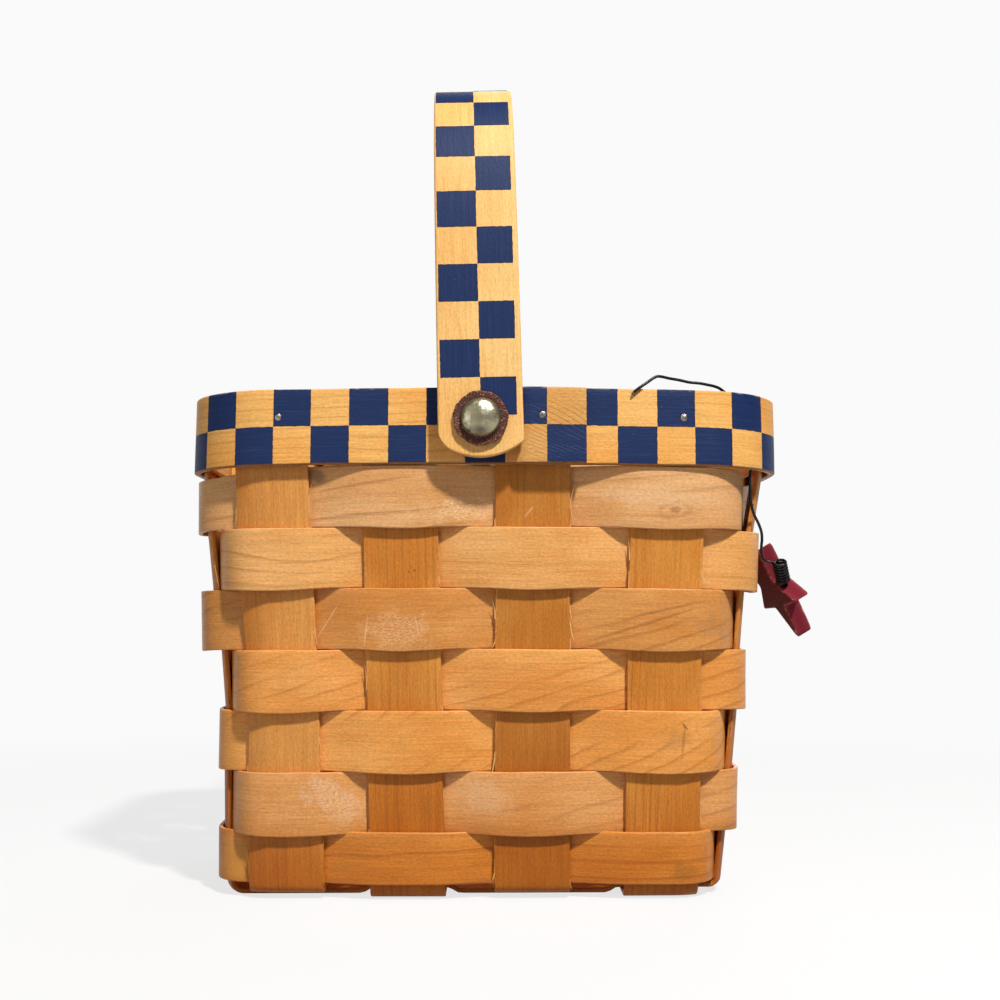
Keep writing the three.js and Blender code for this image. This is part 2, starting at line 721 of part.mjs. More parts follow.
// Materials by colour, roughness and metalness
const paint = (color, roughness, metalness = 0) => new THREE.MeshStandardMaterial({ color, roughness, metalness });
const weaverWood = paint(0xdb9c5a, 0.45);
const uprightWood = paint(0xc98746, 0.5);
const rimPaint = paint(0x8d7d63, 0.5);
const innerWood = paint(0xe0a865, 0.5);
const handlePaint = paint(0x8d7d63, 0.5);
const brass = paint(0xa79a5e, 0.35, 1);
const steel = paint(0xb9b6ab, 0.35, 1);
const leather = paint(0x6e321f, 0.7);
const starPaint = paint(0x6e2837, 0.45);
const blackWire = paint(0x151515, 0.4, 0.6);

const basket = new THREE.Group();
function add(name, geometry, material, parent = basket) {
  const mesh = new THREE.Mesh(geometry, material);
  mesh.name = name;
  parent.add(mesh);
  return mesh;
}

// Long splints run front, base, back; cross splints run left, base, right
const longCrossings = (i) => crossBaseShares.map((k, j) => ({ at: k * baseHalfDepth, high: (i + j) % 2 === 0 }));
const crossCrossings = (j) => longBaseShares.map((k, i) => (
  { at: k * baseHalfWidth - bodyLean, high: (i + j) % 2 === 1 }
));
longBaseShares.forEach((_, i) => {
  const columns = i === 0 || i === longBaseShares.length - 1 ? 5 : 2;
  const body = splint(i, 10 - i, longCrossings(i), 'y', columns);
  const tools = [...ringTools(i), ...ringTools(10 - i)];
  add(`upright_${i + 1}`, tools.length ? cut(body, tools) : body, uprightWood);
});
crossBaseShares.forEach((_, j) => {
  const columns = j === 1 ? 2 : 5;
  const body = splint(13 - j, 4 + j, crossCrossings(j), 'x', columns);
  const tools = [...ringTools(13 - j), ...ringTools(4 + j)];
  add(`cross_splint_${j + 1}`, tools.length ? cut(body, tools) : body, uprightWood);
});
for (let row = 1; row <= rowCount; row += 1) add(`weaver_${row}`, weaver(row), weaverWood);
add('rim_outer_band', outerRim(), rimPaint);
add('rim_inner_band', innerRim(), innerWood);

[['front', -1], ['back', 1]].forEach(([end, side]) => {
  const place = new THREE.Group();
  place.position.set(rivetX, 0, rivetZ);
  basket.add(place);
  add(`rivet_${end}`, turned(rivetProfile(), side), brass, place);
  const bore = shankRadius + fit;
  add(`leather_washer_${end}`,
    turned(washerProfile(bore, leatherRadius, leatherInner, leatherInner + leatherThickness), side), leather, place);
  add(`spacer_washer_${end}`,
    turned(washerProfile(bore, spacerRadius, rimOuterFace + fit, handleInner - fit), side), leather, place);
  add(`burr_washer_${end}`,
    turned(washerProfile(bore, burrRadius, burrOuter - burrThickness, burrOuter), side), brass, place);
});
nails.forEach((n, i) => add(`rim_nail_${i + 1}`, nail(n), steel));

const handle = new THREE.Group();
handle.position.set(rivetX, 0, rivetZ);
handle.rotation.y = -handleLean * rad;
add('handle_strap', handleStrap(), handlePaint, handle);
basket.add(handle);

add('star', starGeometry(), starPaint);
add('star_wire', wireGeometry(), blackWire);

export default basket;
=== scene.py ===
import math

import bpy
import numpy as np
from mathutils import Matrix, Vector


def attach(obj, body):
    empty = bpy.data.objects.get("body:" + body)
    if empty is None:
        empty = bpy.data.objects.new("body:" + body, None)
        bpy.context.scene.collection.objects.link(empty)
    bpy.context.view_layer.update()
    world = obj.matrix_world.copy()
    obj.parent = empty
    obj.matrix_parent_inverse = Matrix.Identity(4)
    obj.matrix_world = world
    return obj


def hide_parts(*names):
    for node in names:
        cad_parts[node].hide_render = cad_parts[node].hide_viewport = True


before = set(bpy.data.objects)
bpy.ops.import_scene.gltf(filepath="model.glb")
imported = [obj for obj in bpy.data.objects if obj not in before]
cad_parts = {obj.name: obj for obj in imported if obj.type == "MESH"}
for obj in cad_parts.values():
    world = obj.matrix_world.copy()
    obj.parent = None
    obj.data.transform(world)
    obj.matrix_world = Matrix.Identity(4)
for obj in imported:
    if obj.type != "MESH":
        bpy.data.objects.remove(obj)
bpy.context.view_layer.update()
mm = 0.001
print("basket frame loaded")

view = {"place": (0.0, -0.5235, 0.097), "pitch": 4.38, "yaw": 0.667, "lens": 49.4, "sensor": 36.0, "clip": 0.01}


def inScene(name, data):
    thing = bpy.data.objects.new(name, data)
    bpy.context.scene.collection.objects.link(thing)
    return thing


def makeCamera():
    camera = bpy.data.cameras.new("photoView")
    camera.lens, camera.sensor_width, camera.clip_start = view["lens"], view["sensor"], view["clip"]
    eye = inScene("photoView", camera)
    eye.location = view["place"]
    eye.rotation_euler = (math.radians(90 + view["pitch"]), 0, math.radians(-view["yaw"]))
    bpy.context.scene.camera = eye


makeCamera()

# the wall that every splint follows, in millimetres
wallShape = {
    "baseHalfWidth": 84.2, "baseHalfDepth": 59.5, "baseCorner": 16,
    "rimHalfWidth": 97.4, "rimHalfDepth": 69.9, "rimCorner": 26,
    "sideBulge": 1.2, "bodyLean": 3.3, "rimBow": 1.2,
    "leftHollow": 3, "leftHollowHeight": 70, "rightHollow": 2.2, "rightHollowHeight": 100, "hollowSpread": 30,
    "rimFoot": 143.4, "rimHead": 168.8, "foldHeight": 4.7,
    "splintThickness": 1.5, "uprightWidth": 25.4, "gap": 0.3,
    # middles of the uprights as shares of the half width or half depth
    "longBaseShares": np.array([-0.747, -0.2625, 0.234, 0.7518]),
    "longRimShares": np.array([-0.7372, -0.2926, 0.1684, 0.6407]),
    "crossBaseShares": np.array([-0.6639, 0, 0.6639]), "crossRimShares": np.array([-0.6152, 0, 0.6152]),
}


def mixed(a, b, t):
    return a + (b - a) * t


def eased(t):  # half a cosine wave from 0 to 1
    return 0.5 - 0.5 * np.cos(np.pi * np.clip(t, 0, 1))


def bell(away, reach):  # a squared cosine, 1 in the middle and 0 from the reach on
    return np.cos(np.clip(away / reach, -1, 1) * np.pi / 2) ** 2


def fullTurn(count):
    return np.linspace(0, 2 * np.pi, count, endpoint=False)


def columns(*parts):  # arrays of one shape, or of shapes that fit, side by side as the last axis
    return np.stack(np.broadcast_arrays(*parts), -1)


def gridOf(along, around):  # a value that runs along and one that runs round, at every point of their grid
    return columns(np.asarray(along)[:, None], np.asarray(around)[None, :])


def unit(v):
    return v / np.linalg.norm(v, axis=-1, keepdims=True)


def runLength(points):  # length run so far along a row of points
    return np.concatenate([[0], np.cumsum(np.linalg.norm(np.diff(points, axis=0), axis=-1))])


def levelSection(z):  # sizes run straight from the floor to the rim's foot, then stay
    w = wallShape
    t = np.minimum(np.asarray(z, float) / w["rimFoot"], 1)
    hx = mixed(w["baseHalfWidth"], w["rimHalfWidth"], t)
    hy = mixed(w["baseHalfDepth"], w["rimHalfDepth"], t)
    r = mixed(w["baseCorner"], w["rimCorner"], t)
    return t, hx, hy, r, 4 * (hx + hy) - 8 * r + 2 * np.pi * r


def lengthRound(z):
    return float(levelSection(z)[4])


def outlinePoint(z, s):
    # rounded rectangle by length s from the front's middle; its sides bulge as parabolas,
    # and each end is hollowed by a bell over the height times the cube of the share along x
    w = wallShape
    t, hx, hy, r, length = levelSection(z)
    turn = np.floor(s / (length / 4) + 0.5)
    along = s - turn * length / 4
    side = np.mod(turn, 4).astype(int)
    flat = np.where(side % 2 == 0, hx, hy) - r
    bend = np.maximum(np.abs(along) - flat, 0) / r
    u = np.sign(along) * (np.minimum(np.abs(along), flat) + r * np.sin(bend))
    v = np.where(side % 2 == 0, hy, hx) - r + r * np.cos(bend)
    x = np.choose(side, [u, v, -u, -v])
    y = np.choose(side, [-v, u, v, -u])
    left, right = (w[end + "Hollow"] * np.exp(-((z - w[end + "HollowHeight"]) / w["hollowSpread"]) ** 2)
                   for end in ("left", "right"))
    share = x / hx
    px = x * (1 - w["sideBulge"] / hx * (y / hy) ** 2) - w["bodyLean"] * (1 - t)
    return px - np.where(share < 0, left, right) * share ** 3, y * (1 - w["sideBulge"] / hy * share ** 2)


def wallPoint(s, z, offset):
    # the outline, moved out along its level normal, and lowered at the ends by the rim's bow
    s, z, offset = np.broadcast_arrays(np.asarray(s, float), np.asarray(z, float), np.asarray(offset, float))
    x, y = outlinePoint(z, s)
    xa, ya = outlinePoint(z, s - 0.2)
    xb, yb = outlinePoint(z, s + 0.2)
    n = np.hypot(xb - xa, yb - ya)
    px = x + offset * (yb - ya) / n
    py = y - offset * (xb - xa) / n
    bow = wallShape["rimBow"] * (px / wallShape["rimHalfWidth"]) ** 2 * levelSection(z)[0]
    return columns(px, py, z - bow)


def uprightMiddle(z, k):  # the fourteen uprights in order: front, right, back, left
    w = wallShape
    t, _, _, _, length = levelSection(z)
    side = [0, 0, 0, 0, 1, 1, 1, 2, 2, 2, 2, 3, 3, 3][k]
    i = [0, 1, 2, 3, 0, 1, 2, 3, 2, 1, 0, 2, 1, 0][k]
    kind, half = ("long", "HalfWidth") if side % 2 == 0 else ("cross", "HalfDepth")
    place = mixed(w[kind + "BaseShares"][i] * w["base" + half], w[kind + "RimShares"][i] * w["rim" + half], t)
    return side * length / 4 + (place if side < 2 else -place)


# flat bars, tubes and turned pieces from grids of points


def edgeProfile(width, thickness, edge, steps, crowded=False):
    # a flat bar's section, from its low edge over its outer face, round and back inside, with quarter circles
    # of the edge's radius: place across, place through, length run so far, and distance from the nearer edge
    arc = np.linspace(0, np.pi / 2, 5)
    even = np.linspace(-1, 1, steps + 1)
    flat = (width / 2 - edge) * (np.sin(even * np.pi / 2) if crowded else even)
    a = np.concatenate([[-width / 2], -(width / 2 - edge) - edge * np.cos(arc[1:-1]), flat,
                        (width / 2 - edge) + edge * np.sin(arc[1:-1]), [width / 2]])
    b = thickness / 2 - edge + edge * np.concatenate(
        [[0], np.sin(arc[1:-1]), np.ones(steps + 1), np.cos(arc[1:-1]), [0]])
    across = np.concatenate([a, a[::-1]])
    through = np.concatenate([b, -b[::-1]])
    step = np.hypot(np.diff(np.append(across, across[0])), np.diff(np.append(through, through[0])))
    return across, through, np.concatenate([[0], np.cumsum(step)]), width / 2 - np.abs(np.append(across, across[0]))


def meshFrom(name, points, faces, size=mm):
    mesh = bpy.data.meshes.new(name)
    mesh.from_pydata((points.reshape(-1, 3) * size).tolist(), [], faces)
    return mesh


def addMap(mesh, name, corners):
    mesh.uv_layers.new(name=name).data.foreach_set("uv", corners.astype(np.float32).ravel())


def tubeMesh(name, rings, maps, material, body, replaced, closed=False, sharp=50):
    # rings: along x around x 3 in millimetres; each map: (along, + 1 where closed) x (around + 1) x 2
    n, m = rings.shape[:2]
    points = rings - rings.mean((0, 1))
    a = points if closed else points[:-1]
    ahead = np.roll(points, -1, 0)[:len(a)]
    if (a * np.cross(np.roll(a, -1, 1), np.roll(ahead, -1, 1))).sum() < 0:  # faces would point inwards
        rings = np.roll(rings[:, ::-1], 1, 1)
        maps = {key: value[:, ::-1] for key, value in maps.items()}
    i, j = np.arange(len(a))[:, None], np.arange(m)[None, :]
    nextI, nextJ = (i + 1) % n, (j + 1) % m
    faces = columns(i * m + j, i * m + nextJ, nextI * m + nextJ, nextI * m + j).reshape(-1, 4).tolist()
    if not closed:
        faces += [list(range(m))[::-1], list(range((n - 1) * m, n * m))]
    mesh = meshFrom(name, rings, faces)
    for key, value in maps.items():
        corner = np.stack([value[:-1, :-1], value[:-1, 1:], value[1:, 1:], value[1:, :-1]], 2).reshape(-1, 2)
        if not closed:
            corner = np.concatenate([corner, value[0, :-1][::-1], value[-1, :-1]])
        addMap(mesh, key, corner)
    return placed(name, mesh, material, body, replaced, sharp)


def placed(name, mesh, material, body, replaced, sharp=50):
    mesh.shade_smooth()
    mesh.set_sharp_from_angle(angle=math.radians(sharp))
    mesh.materials.append(material)
    piece = inScene(name, mesh)
    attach(piece, body)
    if replaced:
        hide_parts(*replaced)
    return piece


def gridMap(along, around, seed=0):  # metres along and across the fibre, each piece in its own stretch of wood
    return gridOf(along * mm + 0.7 * seed, around * mm + 0.23 * seed)


def edgeMap(along, fromEdge, extra=0.0):  # distance from the splint's edge in metres, and a value given along it
    return columns(fromEdge[None, :] * mm, (np.asarray(extra) + 0 * along)[:, None])


def gentleWave(along, size, seed):  # three sines with their own lengths and starts
    rng = np.random.default_rng(seed)
    lengths, starts = rng.uniform(18, 120, 3), rng.uniform(0, 2 * np.pi, 3)
    return size * sum(np.sin(2 * np.pi * along / q + p) for q, p in zip(lengths, starts)) / 2


# shader helpers and groups


def link(tree, source, target):
    tree.links.new(source, target)


def fill(tree, node, values):  # each input gets its link or its plain value
    for key, value in values.items():
        if isinstance(value, bpy.types.NodeSocket):
            link(tree, value, node.inputs[key])
        else:
            node.inputs[key].default_value = value


def shaderNode(tree, kind, values=None, **settings):
    n = tree.nodes.new(kind)
    for key, value in settings.items():
        setattr(n, key, value)
    fill(tree, n, values or {})
    return n


def calc(tree, operation, *values):
    return shaderNode(tree, "ShaderNodeMath", dict(enumerate(values)), operation=operation).outputs[0]


def vectorCalc(tree, operation, *values, **named):
    given = dict(enumerate(values), **named)
    return shaderNode(tree, "ShaderNodeVectorMath", given, operation=operation).outputs[0]


def product(tree, first, *others):
    for other in others:
        first = calc(tree, "MULTIPLY", first, other)
    return first


def evenNoise(tree, place, scale, detail, roughness=0.5, output="Fac"):
    return shaderNode(tree, "ShaderNodeTexNoise", {"Vector": place, "Scale": scale, "Detail": detail,
                                                   "Roughness": roughness}).outputs[output]


def noiseAt(tree, place, scales, detail=2.0, roughness=0.5, shift=(0, 0, 0), turn=(0, 0, 0)):
    given = {"Vector": place, "Scale": scales, "Location": shift, "Rotation": turn}
    return evenNoise(tree, shaderNode(tree, "ShaderNodeMapping", given).outputs[0], 1.0, detail, roughness)


def ramped(tree, value, low, high, toLow=0.0, toHigh=1.0, kind="SMOOTHSTEP"):
    n = shaderNode(tree, "ShaderNodeMapRange", {"Value": value, "From Min": low, "From Max": high,
                                                "To Min": toLow, "To Max": toHigh}, interpolation_type=kind)
    return n.outputs[0]


def blended(tree, fac, a, b, kind="MIX"):
    n = shaderNode(tree, "ShaderNodeMix", data_type="RGBA", blend_type=kind, clamp_factor=True)
    fill(tree, n, {0: fac, 6: a, 7: b})
    return n.outputs[2]


def apart(tree, vector):
    return shaderNode(tree, "ShaderNodeSeparateXYZ", {"Vector": vector}).outputs


def rgb(r, g, b):  # screen colour to linear
    return tuple((c / 255 / 12.92) if c <= 10 else ((c / 255 + 0.055) / 1.055) ** 2.4 for c in (r, g, b)) + (1,)


def newGroup(name, inputs, outputs):
    group = bpy.data.node_groups.new(name, "ShaderNodeTree")
    kinds = {"c": "NodeSocketColor", "f": "NodeSocketFloat", "v": "NodeSocketVector"}
    for label, kind, value in inputs:
        socket = group.interface.new_socket(name=label, in_out="INPUT", socket_type=kinds[kind])
        if value is not None:
            socket.default_value = value
    for label, kind in outputs:
        group.interface.new_socket(name=label, in_out="OUTPUT", socket_type=kinds[kind])
    return group, group.nodes.new("NodeGroupInput").outputs, group.nodes.new("NodeGroupOutput").inputs


def splintGrainGroup():
    # long fibres, slanting growth lines with one sharp side that bend round sparse knots, short pores,
    # cloudy tone, fine speckle, and a few pale scratches that run off the grain
    g, given, out = newGroup("splintGrain", [
        ("Place", "v", None), ("Pale", "c", None), ("Body", "c", None), ("Dark", "c", None),
        ("Line Strength", "f", 0.4), ("Line Pitch", "f", 0.006), ("Slant", "f", 0.05), ("Bend", "f", 0.02),
        ("Streaks", "f", 0.5), ("Scratches", "f", 0.5), ("Gloss Spread", "f", 0.16),
    ], [("Color", "c"), ("Roughness", "f"), ("Height", "f"), ("Fibre", "f"), ("Lines", "f")])
    place = given["Place"]
    xyz = apart(g, place)
    cells = shaderNode(g, "ShaderNodeMapping", {"Vector": place, "Scale": (6.5, 24, 1)}).outputs[0]
    knotFar = shaderNode(g, "ShaderNodeTexVoronoi", {"Vector": cells, "Scale": 1.0}).outputs["Distance"]
    bend = noiseAt(g, place, (7, 18, 1), 2)
    slanted = calc(g, "MULTIPLY_ADD", xyz["X"], given["Slant"], xyz["Y"])
    slanted = calc(g, "ADD", slanted, ramped(g, knotFar, 0.32, 0.02, 0.0, 0.006))
    lineAt = calc(g, "DIVIDE", calc(g, "MULTIPLY_ADD", bend, given["Bend"], slanted), given["Line Pitch"])
    phase = calc(g, "FRACT", calc(g, "MULTIPLY_ADD", noiseAt(g, place, (30, 160, 1), 1), 0.5, lineAt))
    late = product(g, ramped(g, phase, 0.68, 0.96), ramped(g, phase, 1.0, 0.965))
    whichLines = ramped(g, noiseAt(g, place, (5, 60, 1), 1, shift=(3, 7, 0)), 0.42, 0.62)
    lines = product(g, late, whichLines, given["Line Strength"])
    fibre = noiseAt(g, place, (55, 1500, 1), 4, 0.6)
    streak = ramped(g, noiseAt(g, place, (16, 620, 1), 2, 0.5, shift=(2, 1, 0)), 0.44, 0.7)
    pores = ramped(g, noiseAt(g, place, (230, 3600, 1), 2, 0.5, shift=(1, 4, 0)), 0.6, 0.72)
    cloud = ramped(g, noiseAt(g, place, (22, 46, 1), 3, 0.55, shift=(9, 2, 0)), 0.32, 0.68)
    speckle = ramped(g, noiseAt(g, place, (800, 1500, 1), 3, 0.7), 0.25, 0.75)
    here = ramped(g, noiseAt(g, place, (26, 50, 1), 2, shift=(4, 4, 0)), 0.54, 0.66)
    scratch = ramped(g, noiseAt(g, place, (60, 2400, 1), 1, turn=(0, 0, 0.55)), 0.66, 0.72)
    scratch = product(g, scratch, here, given["Scratches"])
    color = blended(g, cloud, given["Body"], given["Pale"])
    color = blended(g, product(g, streak, given["Streaks"]), color, given["Dark"])
    color = blended(g, lines, color, given["Dark"])
    color = blended(g, product(g, ramped(g, knotFar, 0.07, 0.02), 0.6), color, given["Dark"])
    color = blended(g, product(g, pores, 0.3), color, given["Dark"])
    color = blended(g, scratch, color, given["Pale"])
    shade = calc(g, "MULTIPLY_ADD", fibre, 0.6, 0.7)
    shade = product(g, shade, calc(g, "MULTIPLY_ADD", speckle, 0.28, 0.86))
    tint = shaderNode(g, "ShaderNodeCombineColor", {0: shade, 1: shade, 2: shade}).outputs[0]
    link(g, blended(g, 1.0, color, tint, "MULTIPLY"), out["Color"])
    link(g, product(g, calc(g, "SUBTRACT", speckle, 0.5), given["Gloss Spread"]), out["Roughness"])
    height = calc(g, "ADD", product(g, fibre, 0.6), product(g, speckle, 0.5))
    height = calc(g, "ADD", calc(g, "SUBTRACT", height, product(g, pores, 0.35)), product(g, scratch, 0.3))
    link(g, height, out["Height"])
    link(g, fibre, out["Fibre"])
    link(g, late, out["Lines"])
    return g


def checkPaintGroup():
    # squares of paint where column plus row is odd, with ragged borders, small chips and a thin dark outline
    g, given, out = newGroup("checkPaint", [
        ("Checks", "v", None), ("Place", "v", None), ("Ragged", "f", 0.035), ("Chips", "f", 0.765),
        ("First", "f", -1000.0), ("Last", "f", 1000.0),
    ], [("Paint", "f"), ("Border", "f")])
    place = given["Place"]
    wobble = vectorCalc(g, "SUBTRACT", evenNoise(g, place, 700.0, 3.0, output="Color"), (0.5, 0.5, 0.5))
    scaled = vectorCalc(g, "SCALE", wobble, Scale=given["Ragged"])
    xyz = apart(g, vectorCalc(g, "ADD", given["Checks"], scaled))
    total = calc(g, "ADD", calc(g, "FLOOR", xyz["X"]), calc(g, "FLOOR", xyz["Y"]))
    odd = calc(g, "GREATER_THAN", calc(g, "FRACT", product(g, total, 0.5)), 0.25)
    inside = product(g, calc(g, "GREATER_THAN", xyz["Y"], 0.0), calc(g, "LESS_THAN", xyz["Y"], 2.0),
                     calc(g, "GREATER_THAN", xyz["X"], given["First"]), calc(g, "LESS_THAN", xyz["X"], given["Last"]))
    chip = calc(g, "GREATER_THAN", noiseAt(g, place, (900, 1300, 1), 3, 0.6, shift=(5, 5, 0)), given["Chips"])
    link(g, product(g, odd, inside, calc(g, "SUBTRACT", 1.0, chip)), out["Paint"])
    near = [calc(g, "SUBTRACT", 0.5, calc(g, "PINGPONG", calc(g, "ADD", xyz[k], 0.5), 0.5)) for k in ("X", "Y")]
    link(g, product(g, ramped(g, calc(g, "MINIMUM", *near), 0.04, 0.008), inside, odd), out["Border"])
    return g


def wearGroup():
    # patches from coarse noise and a fine noise seven times smaller, for worn, dusty or tarnished places
    g, given, out = newGroup("wearPatches", [("Place", "v", None), ("Scale", "f", 300.0), ("Amount", "f", 0.5)],
                             [("Patches", "f"), ("Fine", "f")])
    coarse = evenNoise(g, given["Place"], given["Scale"], 4.0, 0.6)
    fine = evenNoise(g, given["Place"], product(g, given["Scale"], 7.0), 2.0)
    level = calc(g, "SUBTRACT", 0.9, product(g, given["Amount"], 0.8))
    patches = ramped(g, coarse, level, calc(g, "ADD", level, 0.16), kind="LINEAR")
    link(g, patches, out["Patches"])
    link(g, fine, out["Fine"])
    return g


def markSpotGroup():
    # a turned ellipse on the front wall, 1 at its middle and 0 outside, with an uneven soft edge
    g, given, out = newGroup("markSpot", [
        ("Place", "v", None), ("Centre", "v", None), ("Turn", "f", 0.0), ("Half Length", "f", 0.01),
        ("Half Width", "f", 0.003), ("Softness", "f", 0.6), ("Uneven", "f", 0.4)],
                             [("Mask", "f"), ("Far", "f")])
    at = apart(g, vectorCalc(g, "SUBTRACT", given["Place"], given["Centre"]))
    cosine, sine = calc(g, "COSINE", given["Turn"]), calc(g, "SINE", given["Turn"])
    along = calc(g, "ADD", product(g, at["X"], cosine), product(g, at["Z"], sine))
    across = calc(g, "SUBTRACT", product(g, at["Z"], cosine), product(g, at["X"], sine))
    squares = [calc(g, "POWER", calc(g, "DIVIDE", part, given[half]), 2.0)
               for part, half in ((along, "Half Length"), (across, "Half Width"))]
    far = calc(g, "SQRT", calc(g, "ADD", *squares))
    blur = calc(g, "SUBTRACT", evenNoise(g, given["Place"], 260.0, 3.0), 0.5)
    far = calc(g, "ADD", far, product(g, blur, given["Uneven"], 2.0))
    mask = ramped(g, far, 1.0, calc(g, "SUBTRACT", 1.0, given["Softness"]))
    link(g, product(g, mask, calc(g, "LESS_THAN", apart(g, given["Place"])["Y"], 0.0)), out["Mask"])
    link(g, far, out["Far"])
    return g


splintGrain, checkPaint, wearPatches, markSpot = splintGrainGroup(), checkPaintGroup(), wearGroup(), markSpotGroup()


def newMaterial(name, shaderValues):
    material = bpy.data.materials.new(name)
    material.use_nodes = True
    tree = material.node_tree
    shader = tree.nodes["Principled BSDF"]
    fill(tree, shader, shaderValues)
    return material, tree, shader


def placeGroup(tree, group, values):
    return shaderNode(tree, "ShaderNodeGroup", values, node_tree=group).outputs


def wearAt(tree, place, scale, amount):
    return placeGroup(tree, wearPatches, {"Place": place, "Scale": scale, "Amount": amount})


def spotAt(tree, place, x, z, halfX, halfZ, turn, **more):  # a mark's mask, from millimetres and degrees
    return placeGroup(tree, markSpot, dict({
        "Place": place, "Centre": (x * mm, 0, z * mm), "Turn": math.radians(turn),
        "Half Length": halfX * mm, "Half Width": halfZ * mm}, **more))


def finishShader(tree, shader, color, roughness, height, strength, distance):
    bump = shaderNode(tree, "ShaderNodeBump", {"Height": height, "Strength": strength, "Distance": distance})
    fill(tree, shader, {"Base Color": color, "Roughness": roughness, "Normal": bump.outputs[0]})


def uvPlace(tree, name):
    return shaderNode(tree, "ShaderNodeUVMap", uv_map=name).outputs[0]


def objectPlace(tree):
    return shaderNode(tree, "ShaderNodeTexCoord").outputs["Object"]


# marks of the front wall: centre x and z, half length and half width in millimetres, turn in degrees, strength and
# colour, then for some how uneven the edge is, and whether the mark breaks up into glints or into rings round a knot;
# the pale marks that break up into glints are painted highlights, a painted sheen on the weavers
frontMarks = {
    "ringCount": 2.6, "uneven": 0.4,
    "weaver": [
        (-56, 140, 5, 3, -20, 0.6, rgb(88, 68, 50)),
        (-40, 137, 22, 0.7, 9, 0.4, rgb(158, 100, 52)),
        (-9, 128, 17, 5.5, 3, 0.75, rgb(246, 208, 162), 0.9, "paintedGlints"),
        (63, 128.5, 10, 5, 8, 0.34, rgb(176, 112, 64), 0.4, "rings"),
        (63, 128.5, 2.2, 1.4, 8, 0.45, rgb(160, 102, 62)),
        (55, 133, 24, 4, -4, 0.7, rgb(242, 200, 156), 0.4, "paintedGlints"),
        (54, 91, 25, 0.7, 17, 0.5, rgb(150, 92, 50)),
        (60, 95.5, 18, 0.6, 12, 0.45, rgb(150, 92, 50)),
        (75, 90, 7, 5, 0, 0.2, rgb(132, 112, 92), 0.9),
        (-28, 88.5, 14, 8, 0, 0.5, rgb(246, 208, 160), 0.7, "paintedGlints"),
        (-52, 91.5, 11, 0.35, 57, 0.45, rgb(240, 196, 146), 0.6),
        (-39, 88, 7, 0.3, 84, 0.5, rgb(246, 206, 156), 0.6),
        (-22, 90, 5, 0.25, -76, 0.45, rgb(246, 206, 156), 0.5),
        (-50, 33, 15, 7, -32, 0.65, rgb(244, 212, 178), 0.9, "paintedGlints"),
        (-84, 12, 9, 11, 0, 0.72, rgb(252, 204, 140)),
        (0, 33, 11, 7, 0, 0.45, rgb(242, 206, 168), 0.9, "paintedGlints"),
        (63, 52, 7, 4, 10, 0.16, rgb(120, 96, 72), 0.9),
        (66, 52, 8, 0.6, 84, 0.38, rgb(116, 82, 50), 0.9),
        (66.5, 57, 2.4, 0.5, -48, 0.6, rgb(96, 66, 40), 0.6),
        (67, 9, 5, 4, 0, 0.3, rgb(128, 110, 74), 0.9),
        (-57, 12, 3, 0.5, 50, 0.5, rgb(226, 170, 112)),
    ],
    "upright": [
        (-61.6, 124, 0.9, 9, 0, 0.8, rgb(226, 164, 76)),
        (-60.2, 90, 0.7, 9, 0, 0.6, rgb(226, 164, 76)),
        (15, 128, 3, 0.5, 50, 0.5, rgb(226, 178, 128)),
        (-23, 108.5, 0.6, 0.5, 0, 0.7, rgb(110, 62, 28)),
        (-25, 108, 0.5, 0.4, 0, 0.7, rgb(110, 62, 28)),
        (52, 128, 4, 9, 0, 0.3, rgb(150, 92, 48)),
    ],
}

# screen colours of the woods and paints
woodTones = {
    "weaverPale": rgb(237, 171, 104), "weaverBody": rgb(224, 150, 79), "weaverDark": rgb(164, 94, 36),
    "uprightPale": rgb(217, 140, 58), "uprightBody": rgb(201, 119, 38), "uprightDark": rgb(142, 74, 20),
    "rimPale": rgb(241, 184, 104), "rimBody": rgb(236, 165, 80), "rimDark": rgb(186, 116, 50),
    # the rim foot colour below is painted shade for the band's foot and its inside face
    "rimFoot": rgb(112, 62, 34),
    "strapPale": rgb(248, 200, 126), "strapBody": rgb(241, 182, 104), "strapDark": rgb(196, 130, 64),
    # the low tint below is painted shade, multiplied in towards the floor
    "lapTint": rgb(232, 238, 252), "paintedLowShade": (0.74, 0.54, 0.25, 1), "wornEdge": rgb(246, 206, 150),
    "navy": rgb(16, 39, 84), "navyLight": rgb(38, 58, 106), "navyRim": rgb(26, 26, 40), "nick": rgb(196, 184, 166),
}

# how far from the middle the shade of the walls sets in, in metres, and its share on the base
baseShade = {"X": (0.068, 0.078), "Y": (0.05, 0.06), "least": 0.25}


def fullMarks(kind):  # the rows of one kind of splint, the short ones filled up
    rest = frontMarks["uneven"], ""
    return [(*row, *rest[len(row) - 7:]) for row in frontMarks.get(kind, [])]


